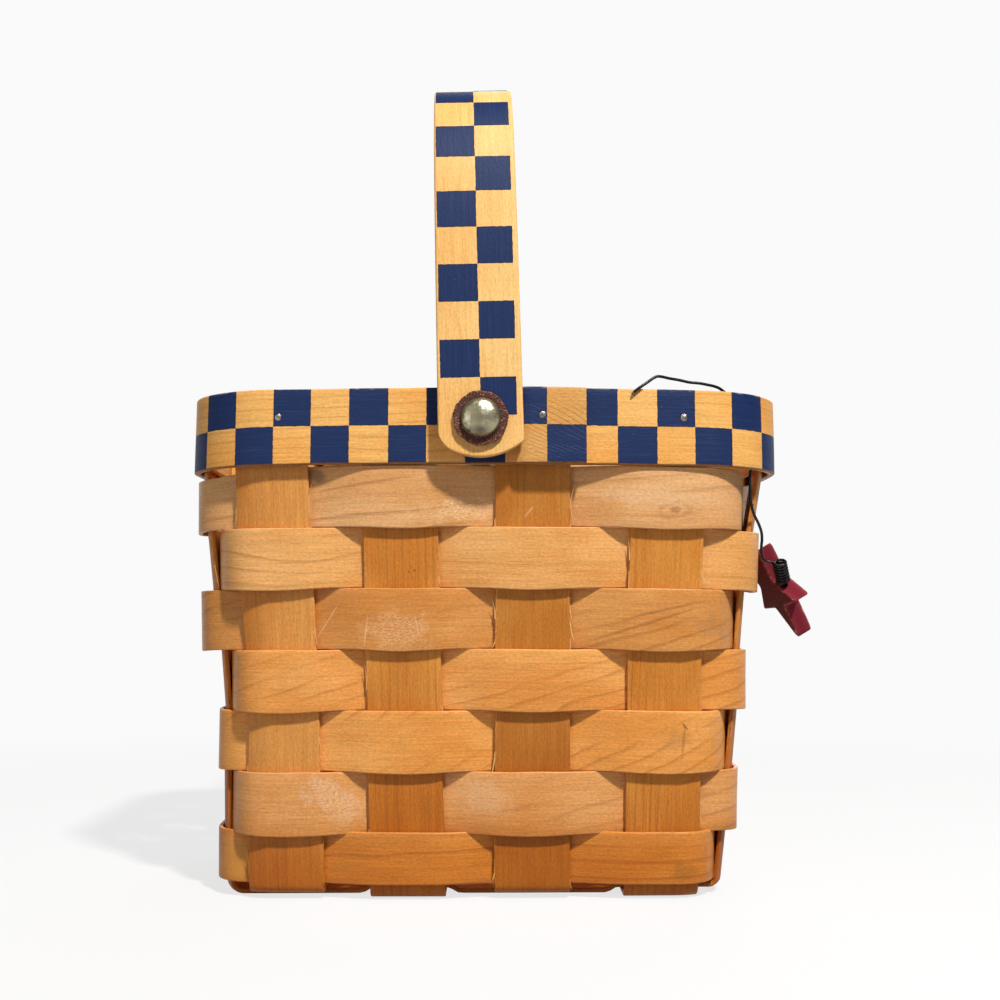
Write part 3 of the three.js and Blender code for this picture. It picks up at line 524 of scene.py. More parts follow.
def woodMaterial(name, kind, grainValues, roughness, tint=(1, 1, 1, 1), low=(0.034, 0.014), fray=0.3):
    material, tree, shader = newMaterial(name, {"Roughness": roughness, "Specular IOR Level": 0.28})
    place, edge, here = uvPlace(tree, "grain"), apart(tree, uvPlace(tree, "edge")), objectPlace(tree)
    grain = placeGroup(tree, splintGrain, dict(grainValues, Place=place))
    color = blended(tree, 1.0, grain["Color"], tint, "MULTIPLY")
    # painted highlight: a painted sheen breaks up into glints on the rough grain
    paintedGlints = ramped(tree, noiseAt(tree, place, (1000, 2000, 1), 3, 0.65, shift=(1, 9, 0)), 0.37, 0.66)
    for *shape, strength, tone, uneven, pattern in fullMarks(kind):
        spot = spotAt(tree, here, *shape, Uneven=uneven)
        share = paintedGlints if pattern == "paintedGlints" else 1.0
        if pattern == "rings":
            rings = calc(tree, "SINE", product(tree, spot["Far"], 2 * math.pi * frontMarks["ringCount"]))
            share = calc(tree, "MULTIPLY_ADD", rings, 0.5, 0.5)
        color = blended(tree, product(tree, spot["Mask"], strength, share), color, tone)
    # fibres come loose and wear pale in the last millimetre before the edge
    stretch = ramped(tree, noiseAt(tree, place, (28, 40, 1), 1, shift=(6, 1, 0)), 0.42, 0.66, 0.15, 1.0)
    fibres = ramped(tree, noiseAt(tree, place, (520, 2200, 1), 3, 0.6, shift=(8, 3, 0)), 0.44, 0.6)
    worn = product(tree, ramped(tree, edge["X"], 0.0012, 0.0002), stretch, fray, fibres)
    color = blended(tree, worn, color, woodTones["wornEdge"])
    # painted shade: the walls are darker towards the floor, the base between them only a little
    at = apart(tree, here)
    nearWall = [ramped(tree, calc(tree, "ABSOLUTE", at[k]), *baseShade[k]) for k in ("X", "Y")]
    toWall = calc(tree, "MAXIMUM", *nearWall)
    paintedShadeToFloor = calc(tree, "MULTIPLY_ADD", toWall, 1 - baseShade["least"], baseShade["least"])
    paintedShadeToFloor = product(tree, ramped(tree, at["Z"], *low), paintedShadeToFloor)
    finishShader(tree, shader, blended(tree, paintedShadeToFloor, color, woodTones["paintedLowShade"], "MULTIPLY"),
                 calc(tree, "ADD", grain["Roughness"], roughness),
                 calc(tree, "ADD", grain["Height"], product(tree, worn, 0.4)), 0.4, 0.00022)
    return material


def grainLook(wood, strength, pitch, slant, bend, streaks=0.1, scratches=0.3):
    t = woodTones
    return {"Pale": t[wood + "Pale"], "Body": t[wood + "Body"], "Dark": t[wood + "Dark"], "Line Strength": strength,
            "Line Pitch": pitch, "Slant": slant, "Bend": bend, "Streaks": streaks, "Scratches": scratches}


def paintedMaterial(name, wood, lines, first, last, foot=0.0):
    # navy checks over bare wood: the paint is thin on the fibres' tops and rubbed off in patches and at the edges,
    # and painted shade lies in a strip along the foot and over the band's inside face
    material, tree, shader = newMaterial(name, {"Roughness": 0.5, "Specular IOR Level": 0.26})
    place, edge = uvPlace(tree, "grain"), apart(tree, uvPlace(tree, "edge"))
    lap = edge["Y"]  # 0, and 1 where the band's other end lies over it: a splint with closer, rising lines
    look = grainLook(wood, lines, 0.0032, 0.0, 0.01, 0.08, 0.2)
    for key, more in (("Line Strength", 0.45), ("Bend", 0.022), ("Line Pitch", -0.0019)):
        look[key] = calc(tree, "MULTIPLY_ADD", lap, more, look[key])
    look["Slant"] = product(tree, lap, 0.3)
    grain = placeGroup(tree, splintGrain, dict(look, Place=place))
    rows = uvPlace(tree, "checks")
    checks = placeGroup(tree, checkPaint, {"Checks": rows, "Place": place, "First": first, "Last": last})
    wear = wearAt(tree, place, 900.0, 0.26)
    deep = ramped(tree, noiseAt(tree, place, (60, 380, 1), 2, shift=(2, 6, 0)), 0.4, 0.6)
    groove = product(tree, lap, grain["Lines"], deep)
    bare = blended(tree, lap, grain["Color"], blended(tree, 1.0, grain["Color"], woodTones["lapTint"], "MULTIPLY"))
    thin = calc(tree, "ADD", ramped(tree, grain["Fibre"], 0.45, 0.8, 0.0, 0.7), product(tree, lap, 0.12))
    navy = blended(tree, thin, woodTones["navy"], woodTones["navyLight"])
    navy = blended(tree, product(tree, groove, 0.5), navy, woodTones["navyRim"])
    navy = blended(tree, product(tree, wear["Patches"], 0.45), navy, woodTones["nick"])
    navy = blended(tree, product(tree, checks["Border"], 0.6), navy, woodTones["navyRim"])
    rubbed = ramped(tree, noiseAt(tree, place, (300, 900, 1), 3, 0.6, shift=(8, 3, 0)), 0.5, 0.64)
    worn = product(tree, ramped(tree, edge["X"], 0.0008, 0.0001), rubbed, 0.35)
    color = blended(tree, worn, blended(tree, checks["Paint"], bare, navy), woodTones["wornEdge"])
    # painted shade: a dark strip along the band's foot and over its whole inside face
    up = apart(tree, rows)["Y"]
    paintedFootShade = product(tree, calc(tree, "MAXIMUM", ramped(tree, up, 0.03, 0.0), ramped(tree, up, 2.8, 3.3)), foot)
    color = blended(tree, paintedFootShade, color, woodTones["rimFoot"])
    rough = calc(tree, "ADD", grain["Roughness"], calc(tree, "MULTIPLY_ADD", checks["Paint"], 0.06, 0.48))
    film = calc(tree, "SUBTRACT", calc(tree, "MULTIPLY_ADD", checks["Paint"], 0.25, grain["Height"]), groove)
    finishShader(tree, shader, color, rough, film, 0.35, 0.00022)
    return material


innerBandWood = woodMaterial("innerBandWood", "plain", grainLook("rim", 0.3, 0.004, 0.0, 0.01), 0.48)
print("wood materials made")

weavers = {
    "width": 19.95, "bottomWidth": 16.6, "rowGap": 0.3, "rowCount": 7, "flatHalf": 8.5, "edge": 0.42,
    "swell": 0.25, "sag": 0.75, "reach": 21, "lapHalf": 10.5, "slackRow": 3, "slackUpright": 13, "slackSwell": 2.4,
    "step": 1.6, "columns": 8, "closeUp": 0.12, "bottomCloseUp": 0.5, "ragged": 0.1,
    "lapUprights": [8, 9, 10, 7],  # the back uprights inside which the rows' ends lap, in turn
    # how far a weaver stands straighter than the wall, from the front's middle to the corners and past them
    "flatStand": 0.3, "stand": 0.8, "standAt": 66, "standRamp": 22,
    # the top weaver dips at the front corners, and is tucked in behind the wire
    "cornerDip": 2.7, "cornerAt": 108, "cornerReach": 36, "tuck": 2.4, "tuckAt": 99, "tuckReach": 15,
    # each row's wood is dyed a little differently, and its growth lines rise by their own slope
    "slants": [-0.08, -0.02, -0.24, -0.3, -0.5, -0.2, -0.03],
    "tints": [(0.96, 1.1, 1.4, 1), (1.04, 1.11, 1.1, 1), (0.87, 0.81, 0.65, 1), (1.05, 0.99, 0.78, 1),
              (1.06, 1.0, 0.74, 1), (0.98, 1.0, 1.05, 1), (1.05, 1.0, 0.8, 1)],
}


def rowFoot(row):
    w = weavers
    bottom = wallShape["foldHeight"] + wallShape["gap"]
    if row == w["rowCount"]:
        return bottom
    return bottom + w["bottomWidth"] + w["rowGap"] + (w["rowCount"] - 1 - row) * (w["width"] + w["rowGap"])


def weaverKnots(row, z):  # the fifteen uprights that a weaver meets: middle, side, offset and swell at each
    w = weavers
    step = wallShape["splintThickness"] + wallShape["gap"]
    length = lengthRound(z)
    middles = np.array([float(uprightMiddle(z, k)) for k in range(14)])
    count = w["lapUprights"][(row - 1) % 4] + np.arange(15)
    order = count % 14
    side = np.where((order + row) % 2 == 0, 1.0, -1.0)
    swell = side * w["swell"] + w["slackSwell"] * ((row == w["slackRow"]) & (order == w["slackUpright"]))
    swell[[0, -1]] = 0
    offset = side * step
    offset[-1] -= step
    return middles[order] + length * (count // 14), side, offset, swell, step


def weaverWave(row, centre, side, offset, swell, step, s):
    # out past every second upright, in behind the next: flats of the uprights' width joined by half cosine waves
    w = weavers
    low, high = centre - w["flatHalf"], centre + w["flatHalf"]
    low[0], high[-1] = centre[0] - w["lapHalf"], centre[-1] + w["lapHalf"]
    knot, level = columns(low, high).ravel(), np.repeat(offset, 2)
    i = np.clip(np.searchsorted(knot, s) - 1, 0, len(knot) - 2)
    wave = mixed(level[i], level[i + 1], eased((s - knot[i]) / (knot[i + 1] - knot[i])))
    nearest = np.abs(s[:, None] - centre[None, :]).argmin(1)
    dome = bell(s - centre[nearest], w["reach"])
    sag = w["sag"] * dome * (side[nearest] > 0) * (row < w["rowCount"])
    return wave + swell[nearest] * dome, np.clip((wave / step + 1) / 2, 0, 1), sag


def makeWeaver(row):
    # straight across its width between its foot and head, standing a little more upright than the wall
    w = weavers
    width = w["bottomWidth"] if row == w["rowCount"] else w["width"]
    foot = rowFoot(row)
    head, middle = foot + width, foot + width / 2
    knots = weaverKnots(row, middle)
    first, last = knots[0][0] - w["lapHalf"], knots[0][-1] + w["lapHalf"]
    s = np.linspace(first, last, int((last - first) / w["step"]))
    out, outside, sag = weaverWave(row, *knots, s)
    normal = (wallPoint(s, middle, 1) - wallPoint(s, middle, 0)) * [1, 1, 0]
    full = lengthRound(head)
    toRight = np.mod(s + full / 2, full) - full / 2
    fromFront = np.abs(toRight)
    stand = mixed(w["flatStand"], w["stand"], eased((fromFront - w["standAt"]) / w["standRamp"]))
    stand = stand * ((wallPoint(s, head, 0) - wallPoint(s, foot, 0)) * normal).sum(-1)
    out = out - w["tuck"] * (row == 1) * bell(toRight - w["tuckAt"], w["tuckReach"])
    across, through, run, fromEdge = edgeProfile(width, wallShape["splintThickness"], w["edge"], w["columns"])
    rough = gentleWave(s, w["ragged"], row) * (row < w["rowCount"]), gentleWave(s, w["ragged"], row + 50)
    plan = s[:, None] / levelSection(middle)[4]
    close = [w["bottomCloseUp"] if row == r else w["closeUp"] for r in (w["rowCount"] - 1, w["rowCount"])]
    low = wallPoint(plan * levelSection(foot)[4], (foot - sag - close[0] + rough[0])[:, None],
                    (out + stand * outside)[:, None] + through)
    dip = w["cornerDip"] * (row == 1) * bell(fromFront - w["cornerAt"], w["cornerReach"])
    high = wallPoint(plan * levelSection(head)[4], (head + close[1] - dip + rough[1])[:, None],
                     (out - stand * (1 - outside))[:, None] + through)
    rings = mixed(low, high, (across / width + 0.5)[None, :, None])
    look = grainLook("weaver", 0.42, 0.0056, w["slants"][row - 1], 0.014)
    wood = woodMaterial(f"weaverWood{row}", "weaver", look, 0.4, w["tints"][row - 1])
    maps = {"grain": gridMap(s, run, row), "edge": edgeMap(s, fromEdge)}
    tubeMesh(f"weaverRow{row}", rings, maps, wood, "basket", [f"weaver_{row}"])


for row in range(1, weavers["rowCount"] + 1):
    makeWeaver(row)
print("weavers made")

uprights = {"edge": 0.4, "columns": 10, "rowSteps": 12, "baseStep": 1.8, "topDrop": 1.0, "climb": 4.4, "foldSteps": 9,
            "lowLevel": 0.75, "highLevel": 2.55, "ragged": 0.14, "clearance": 0.05, "beside": 0.4,
            # each splint's own wood and dye, the four long ones first, and the heights between which the shade sets in
            "seeds": [20, 21, 22, 23, 30, 31, 32], "endShade": (0.045, 0.0), "midShade": (0.09, 0.012),
            "tints": [(1.05, 1.19, 1.7, 1), (1.03, 1.1, 1.15, 1), (0.88, 0.93, 0.95, 1), (1.02, 1.09, 1.12, 1),
                      (0.97, 0.98, 0.95, 1), (1.02, 1.04, 1.02, 1), (0.95, 0.95, 0.9, 1)]}


def baseLevels(places, highs, start, end):
    # along the base: low on the floor, up over a crossing splint within one climb
    u = uprights
    reach = wallShape["uprightWidth"] / 2 + wallShape["gap"] + u["clearance"]
    d = np.linspace(start, end, int((end - start) / u["baseStep"]))
    rise = np.zeros_like(d)
    for i, (at, high) in enumerate(zip(places, highs)):
        if high:
            before = np.ones_like(d) if i == 0 else eased((d - (at - reach - u["climb"])) / u["climb"])
            after = np.ones_like(d) if i == len(places) - 1 else eased((at + reach + u["climb"] - d) / u["climb"])
            rise = np.maximum(rise, before * after)
    return d, mixed(u["lowLevel"], u["highLevel"], rise)


def wallRun(k, across):  # straight from one row's boundary to the next, from the top down to the fold
    u, w = uprights, wallShape
    rows = [rowFoot(row) for row in range(weavers["rowCount"] - 1, 0, -1)]
    ends = np.array([w["foldHeight"], *rows, w["rimFoot"], w["rimHead"] - u["topDrop"]])
    points = wallPoint(uprightMiddle(ends, k)[:, None] + across[None, :], ends[:, None], 0)
    share = np.linspace(len(ends) - 1, 0, (len(ends) - 1) * u["rowSteps"] + 1)
    i = np.minimum(share.astype(int), len(ends) - 2)
    return mixed(points[i], points[i + 1], (share - i)[:, None, None])


def splintSurface(kA, kB, places, highs, axis, across):
    # rows of points: down one wall, round a quadratic fold, along the base, round and up the other wall
    u = uprights
    inward = np.array([0, 1, 0]) if axis == 1 else np.array([1, 0, 0])
    sideA = across if axis == 1 else -across
    levels = [u["highLevel"] if h else u["lowLevel"] for h in (highs[0], highs[-1])]
    parts = []
    for k, side, level, way in ((kA, sideA, levels[0], 1), (kB, -sideA, levels[1], -1)):
        run = wallRun(k, side)
        corner = wallPoint(uprightMiddle(level, k) + side, level, 0)
        corner[:, 2] = level
        end = corner + way * inward * (wallShape["foldHeight"] - level)
        q = np.linspace(0, 1, u["foldSteps"] + 1)[1:, None, None]
        parts += [run, run[-1][None] * (1 - q) ** 2 + corner[None] * 2 * q * (1 - q) + end[None] * q ** 2]
    runA, foldA, runB, foldB = parts
    mid = len(across) // 2
    d, level = baseLevels(places, highs, foldA[-1][mid, axis], foldB[-1][mid, axis])
    q = ((d - d[0]) / (d[-1] - d[0]))[1:-1, None, None]
    base = mixed(foldA[-1][None], foldB[-1][None], q)
    base[:, :, 2] = level[1:-1, None]
    return np.concatenate([runA, foldA, base, foldB[::-1], runB[::-1]])


def makeSplint(number, kA, kB, places, highs, axis):
    u = uprights
    kind, of, i = ("upright", "upright", number + 1) if number < 4 else ("crossSplint", "cross_splint", number - 3)
    name, node, seed = f"{kind}{i}", f"{of}_{i}", u["seeds"][number]
    wood = woodMaterial(name + "Wood", "upright", grainLook("upright", 0.34, 0.0026, 0.01, 0.005, 0.16), 0.5,
                        u["tints"][number], u["endShade"] if number in (0, 3) else u["midShade"])
    width = wallShape["uprightWidth"]
    across, through, around, fromEdge = edgeProfile(width, wallShape["splintThickness"], u["edge"], u["columns"])
    middle = splintSurface(kA, kB, places, highs, axis, across)
    beside = splintSurface(kA, kB, places, highs, axis, across + u["beside"])
    normal = unit(np.cross(np.gradient(middle, axis=0), beside - middle))
    along = runLength(middle[:, len(across) // 4])
    ragged = [gentleWave(along, u["ragged"], seed + shift)[:, None] * np.clip(way * across / width * 2, 0, 1) ** 2
              for shift, way in ((60, 1), (80, -1))]
    sideways = (beside - middle) / u["beside"] * (ragged[0] + ragged[1])[:, :, None]
    rings = middle + normal * through[None, :, None] + sideways
    maps = {"grain": gridMap(along, around, seed), "edge": edgeMap(along, fromEdge)}
    tubeMesh(name, rings, maps, wood, "basket", [node])


splinters = {
    "perUpright": 16, "seed": 11, "rise": (1, 13), "length": (3, 10), "width": 0.5, "depth": 0.2, "taper": 0.9,
    "stray": (0.15, 1.5), "curl": 0.9, "steps": 8, "proud": 0.55, "rooted": 0.1, "beside": 0.4,
    # where each takes its grain, in metres, and how far from an edge it counts as, in millimetres
    "apart": 0.37, "fibre": 0.01, "turned": 0.013, "fromEdge": 0.6,
    # splinters that the photo shows: upright, edge (-1 left, 1 right), height, length, how far its tip strays
    "shown": [(0, 1, 126, 9, 1.6), (0, 1, 131, 7, 1.0), (0, 1, 121, 6, 1.3), (0, 1, 134, 10, 0.9), (1, -1, 136, 6, 1.2),
              (2, 1, 129, 8, 1.3), (2, 1, 124, 6, 0.9), (2, -1, 112, 7, 1.1), (2, 1, 93, 8, 1.6), (2, 1, 97, 6, 1.1),
              (3, -1, 112, 7, 0.8)],
    "pale": rgb(234, 184, 116), "body": rgb(216, 156, 84), "dark": rgb(150, 88, 34),
}


def makeSplinters():
    # slivers half torn from the uprights' edges: a root in the edge, and a tip that strays sideways and out as the
    # square of the share
    f = splinters
    rng = np.random.default_rng(f["seed"])
    rows = []
    for k in range(14):
        for _ in range(f["perUpright"]):
            row = int(rng.integers(1, 8))
            if (k + row) % 2 == 1:
                rows.append((k, rng.choice([-1, 1]), rowFoot(row) + rng.uniform(*f["rise"]),
                             rng.uniform(*f["length"]), rng.uniform(*f["stray"])))
    k, way, z, length, stray = np.array(rows + f["shown"]).T
    share = np.linspace(0, 1, f["steps"])
    root = np.array([float(uprightMiddle(a, int(b))) for a, b in zip(z, k)])
    bend = stray[:, None] * share ** 2
    s = (root + way * (wallShape["uprightWidth"] / 2 - f["rooted"]))[:, None] + way[:, None] * bend
    up = np.where(rng.random(len(z)) < 0.5, 1, -1)[:, None] * length[:, None] * share
    middle = wallPoint(s, z[:, None] + up, f["proud"] + f["curl"] * bend)
    beside = wallPoint(s + f["beside"], z[:, None] + up, f["proud"] + f["curl"] * bend)
    side = (beside - middle) / f["beside"]
    out = unit(np.cross(np.gradient(middle, axis=1), side))
    thin = (1 - share ** 2 * f["taper"])[None, :, None]
    points = np.stack([middle + side * f["width"] / 2 * a * thin + out * f["depth"] / 2 * b * thin
                       for a, b in ((-1, -1), (1, -1), (1, 1), (-1, 1))], 2)
    n, m = points.shape[:2]
    piece, i, j = np.meshgrid(np.arange(n), np.arange(m - 1), np.arange(4), indexing="ij")
    at, ahead = (piece * m + i) * 4, (piece * m + i + 1) * 4
    faces = columns(at + j, at + (j + 1) % 4, ahead + (j + 1) % 4, ahead + j).reshape(-1, 4)
    first = np.arange(n)[:, None] * m * 4
    caps = np.concatenate([first + [3, 2, 1, 0], first + (m - 1) * 4 + [0, 1, 2, 3]])
    mesh = meshFrom("looseSplinters", points, np.concatenate([faces, caps]).tolist())
    grain = gridOf(np.arange(n) * f["apart"], share * f["fibre"])[..., ::-1] * [1, f["turned"]]
    order = np.array([loop.vertex_index for loop in mesh.loops])
    addMap(mesh, "grain", np.repeat(grain[:, :, None], 4, 2).reshape(-1, 2)[order])
    addMap(mesh, "edge", np.tile([f["fromEdge"] * mm, 0], len(order)))
    pale = {"Pale": f["pale"], "Body": f["body"], "Dark": f["dark"]}
    wood = woodMaterial("splinterWood", "plain", dict(grainLook("upright", 0.1, 0.003, 0, 0), **pale), 0.6)
    placed("looseSplinters", mesh, wood, "basket", [])


crossPlaces = wallShape["crossBaseShares"] * wallShape["baseHalfDepth"]
longPlaces = wallShape["longBaseShares"] * wallShape["baseHalfWidth"] - wallShape["bodyLean"]
for i in range(4):
    makeSplint(i, i, 10 - i, crossPlaces, [(i + j) % 2 == 0 for j in range(3)], 1)
for j in range(3):
    makeSplint(4 + j, 13 - j, 4 + j, longPlaces, [(i + j) % 2 == 1 for i in range(4)], 0)
makeSplinters()
print("uprights and base made")

rim = {
    "outerMiddle": 2.35, "outerThickness": 2.6, "flare": 0.45, "ragged": 0.08, "columns": 12,
    "wireRoom": 1.0, "wireRoomReach": 100, "wireRoomRamp": 35,
    "lapStep": 2.9, "lapStart": 15.4, "lapEnd": 34, "ramp": 6.8,
    "innerMiddle": -2.05, "innerThickness": 2.0, "innerStep": 2.3, "innerHead": 168.2, "innerHeight": 23.6,
    "innerLap": 24, "edge": 0.55, "outerSteps": 440, "innerSteps": 430, "outerSeed": 41, "innerSeed": 43,
    "checkFoot": 0.4, "checkRow": 12.5, "checkPitch": 12.7,
    "checkTurn": 320, "insideRow": 3.5, "firstColumn": -6.0,  # from the turn on, checks are counted backwards
    # lengths round the rim where one check ends and the next begins, counted from the left of the handle
    "checkBorders": [-94, -82.1, -70.4, -57.9, -45.1, -32.0, -19.3, -6.4, 7.1, 20.9, 34.3, 44.7, 58.0, 70.7, 81.8,
                     93.8],
}


def outerOffset(s, length):  # the band swings out past the wire on the right
    away = np.abs(np.mod(s, length) - length / 4)
    return rim["outerMiddle"] + rim["wireRoom"] * eased((rim["wireRoomReach"] - away) / rim["wireRoomRamp"])


def bandPiece(name, s, offset, foot, head, thickness, flare, seed, material, node, lap=0.0, checked=False):
    # a level strip: straight between its foot, which stands out by the flare, and its head
    across, through, around, fromEdge = edgeProfile(head - foot, thickness, rim["edge"], rim["columns"])
    share = across / (head - foot) + 0.5
    z = mixed(foot, head, share)
    rough = gentleWave(s, rim["ragged"], seed)[:, None] * (2 * share - 1)
    rings = wallPoint(s[:, None], z + rough, offset[:, None] + flare * (1 - share) + through)
    maps = {"grain": gridMap(s, around, seed), "edge": edgeMap(s, fromEdge, lap)}
    if checked:
        maps["checks"] = rimChecks(s, z, through)
    tubeMesh(name, rings, maps, material, "basket", [node])


def rimChecks(s, z, through):
    # check columns follow the borders that are listed, then go on at their mean width; rows count from the foot
    borders, pitch = np.array(rim["checkBorders"]), rim["checkPitch"]
    count = np.arange(len(borders)) + rim["firstColumn"]
    s = np.where(s > rim["checkTurn"], s - lengthRound(wallShape["rimHead"]), s)
    column = np.interp(s, borders, count)
    column = np.where(s < borders[0], count[0] + (s - borders[0]) / pitch, column)
    column = np.where(s > borders[-1], count[-1] + (s - borders[-1]) / pitch, column)
    row = np.where(through > 0, (z - wallShape["rimFoot"] - rim["checkFoot"]) / rim["checkRow"], rim["insideRow"])
    return gridOf(column, np.append(row, row[0]))


def makeBands():
    w, length = wallShape, lengthRound(wallShape["rimHead"])
    rampStart = length + rim["lapStart"] - 1 - rim["ramp"]
    s = np.linspace(rim["lapStart"], length + rim["lapEnd"], rim["outerSteps"])
    lap = eased((s - rampStart) / rim["ramp"])
    paint = paintedMaterial("checkedRim", "rim", 0.4, -1000.0, 1000.0, 0.8)
    bandPiece("rimOuterBand", s, outerOffset(s, length) + rim["lapStep"] * lap, w["rimFoot"], w["rimHead"],
              rim["outerThickness"], rim["flare"], rim["outerSeed"], paint, "rim_outer_band", lap, True)
    start = 0.75 * length - rim["innerLap"] / 2 + rim["ramp"] / 2
    rampStart = start + length - 1 - rim["ramp"]
    s = np.linspace(start, rampStart + rim["ramp"] + rim["innerLap"], rim["innerSteps"])
    offset = rim["innerMiddle"] - rim["innerStep"] * eased((s - rampStart) / rim["ramp"])
    bandPiece("rimInnerBand", s, offset, rim["innerHead"] - rim["innerHeight"], rim["innerHead"], rim["innerThickness"],
              0, rim["innerSeed"], innerBandWood, "rim_inner_band")


makeBands()
print("rim made")

handle = {
    "pinX": -1.15, "pinZ": 157.5, "rise": 124.6, "squareness": 4.4, "thickness": 3.6, "outer": 80.892, "lean": 1.4,
    "endWidth": 28, "topWidth": 26.6, "endDrop": 12.6, "endArc": 5.2, "endCorner": 4, "edge": 0.8, "step": 1.3,
    "columns": 22, "endRound": 0.7, "endThin": 0.6, "seed": 47,
    "splitAt": 0.15, "leftColumn": 13.0, "rightColumn": 11.75, "checkLength": 12.56, "firstBorder": 1.0,
    "lastCheck": 30,
}


def leaned(points):  # turned about the rivets' line, then set on it
    a = math.radians(-handle["lean"])
    x, y, z = points[..., 0], points[..., 1], points[..., 2]
    return columns(x * math.cos(a) + z * math.sin(a) + handle["pinX"], y,
                   z * math.cos(a) - x * math.sin(a) + handle["pinZ"])


def handleLine():  # a superellipse arch, walked in even steps
    h = handle
    a = np.linspace(0, np.pi, 4001)
    y = -np.sign(np.cos(a)) * h["outer"] * np.abs(np.cos(a)) ** (2 / h["squareness"])
    z = h["rise"] * np.sin(a) ** (2 / h["squareness"])
    run = np.concatenate([[0], np.cumsum(np.hypot(np.diff(y), np.diff(z)))])
    even = np.linspace(0, run[-1], int(run[-1] / h["step"]))
    return np.interp(even, run, y), np.interp(even, run, z), even


def makeHandle():
    # the section is carried along the arch; below the rivets each foot runs straight to an end cut to an arc
    h = handle
    y, z, even = handleLine()
    half = h["endWidth"] / 2
    across, through, around, fromEdge = edgeProfile(h["endWidth"], h["thickness"], h["edge"], h["columns"], True)
    flat = np.clip(across, -(half - h["edge"]), half - h["edge"])

    def acrossAt(width):  # the rounded edge keeps its size while the flat narrows
        return flat / (half - h["edge"]) * (width / 2 - h["edge"]) + (across - flat)

    radius = (half ** 2 + h["endArc"] ** 2) / (2 * h["endArc"])
    corner = np.maximum(-across - half + h["endCorner"], 0)
    endZ = (h["endCorner"] - h["endDrop"] + radius - np.sqrt(radius ** 2 - across ** 2)
            - np.sqrt(h["endCorner"] ** 2 - corner ** 2))
    # distances from the cut end, denser where it is rounded
    near = np.concatenate([[0, 0.05, 0.18, 0.4, h["endRound"]], np.linspace(1.1, h["endDrop"], 16)])
    footZ = mixed(endZ[None, :], 0.0, (near / near[-1])[:, None])
    thin = mixed(h["endThin"], 1, np.sqrt(1 - (1 - np.clip(near / h["endRound"], 0, 1)) ** 2))
    footX = np.broadcast_to(across, footZ.shape)
    foot = columns(footX, -(h["outer"] - h["thickness"] / 2) - through * thin[:, None], footZ)
    dy, dz = np.gradient(y), np.gradient(z)
    outY, outZ = -dz / np.hypot(dy, dz), dy / np.hypot(dy, dz)
    c = acrossAt(mixed(h["endWidth"], h["topWidth"], np.clip(z, 0, None) / h["rise"])[:, None])
    depth = through[None, :] - h["thickness"] / 2
    arch = columns(c, y[:, None] + outY[:, None] * depth, z[:, None] + outZ[:, None] * depth)
    rings = np.concatenate([foot, arch[1:-1], foot[::-1] * [1, -1, 1]])
    along = np.concatenate([near - near[-1], even[1:-1], even[-1] + near[-1] - near[::-1]])
    acrossAll = np.concatenate([footX, c[1:-1], footX])
    runAll = np.concatenate([footZ, np.broadcast_to(even[1:-1, None], c[1:-1].shape), even[-1] - footZ[::-1]])
    d = acrossAll - h["splitAt"]
    column = np.where(through > 0, 1 + np.where(d < 0, d / h["leftColumn"], d / h["rightColumn"]), -3.5)
    checks = columns((runAll - h["firstBorder"]) / h["checkLength"], column)
    maps = {"grain": gridMap(along, around, h["seed"]), "edge": edgeMap(along, fromEdge),
            "checks": np.concatenate([checks, checks[:, :1]], 1)}
    material = paintedMaterial("checkedHandle", "strap", 0.2, 0.0, float(h["lastCheck"]))
    tubeMesh("handleStrap", leaned(rings), maps, material, "handle", ["handle_strap"])
    print("handle line", round(float(even[-1]), 1), "mm from pin to pin")


makeHandle()
print("handle made")


def turnedRings(profile, side, wobble=0.0, count=64):
    # a profile of (radius, distance out from the basket's middle) turned about the rivets' line
    a = fullTurn(count)
    r = profile[:, :1] * (1 + wobble * (np.sin(3 * a + 1) + 0.6 * np.sin(5 * a + 2))[None, :] / 1.6)
    return columns(handle["pinX"] + r * np.cos(a), side * np.broadcast_to(profile[:, 1:], r.shape),
                   handle["pinZ"] + r * np.sin(a))


def turnMap(profile, count=64):  # turns round, and share of the profile
    return gridOf(np.linspace(0, 1, len(profile)), np.linspace(0, 1, count + 1))[..., ::-1]


rivet = {
    "headRadius": 6.55, "headHeight": 3.0, "headInner": 83.092, "shank": 2.2, "tailOuter": 65.25, "tailRadius": 3.6,
    "tailHeight": 1.4, "wobble": 0.012, "lipRadius": 0.25, "metal": rgb(118, 110, 80), "pale": rgb(178, 170, 138),
    # the lip colour below is painted shade on the dome's lower lip, and the bright one is a painted highlight
    "tarnish": rgb(52, 40, 34), "lip": rgb(110, 56, 44), "paintedHighlight": rgb(238, 233, 204),
    # smudges, partly tarnish and partly a painted dark reflection low on the dome, and rubbed spots, which are
    # painted highlights, on the front head: away from its middle, half sizes, turn and strength
    "tarnishAndDarkReflections": [(-0.3, -4.3, 4.6, 2.6, 4, 0.8), (-0.6, -0.4, 3.8, 2.8, 25, 0.34)],
    "rubbed": [(1.7, 2.7, 3.6, 2.1, -32, 0.85), (-4.4, -0.8, 1.7, 2.6, 12, 0.55)],
}


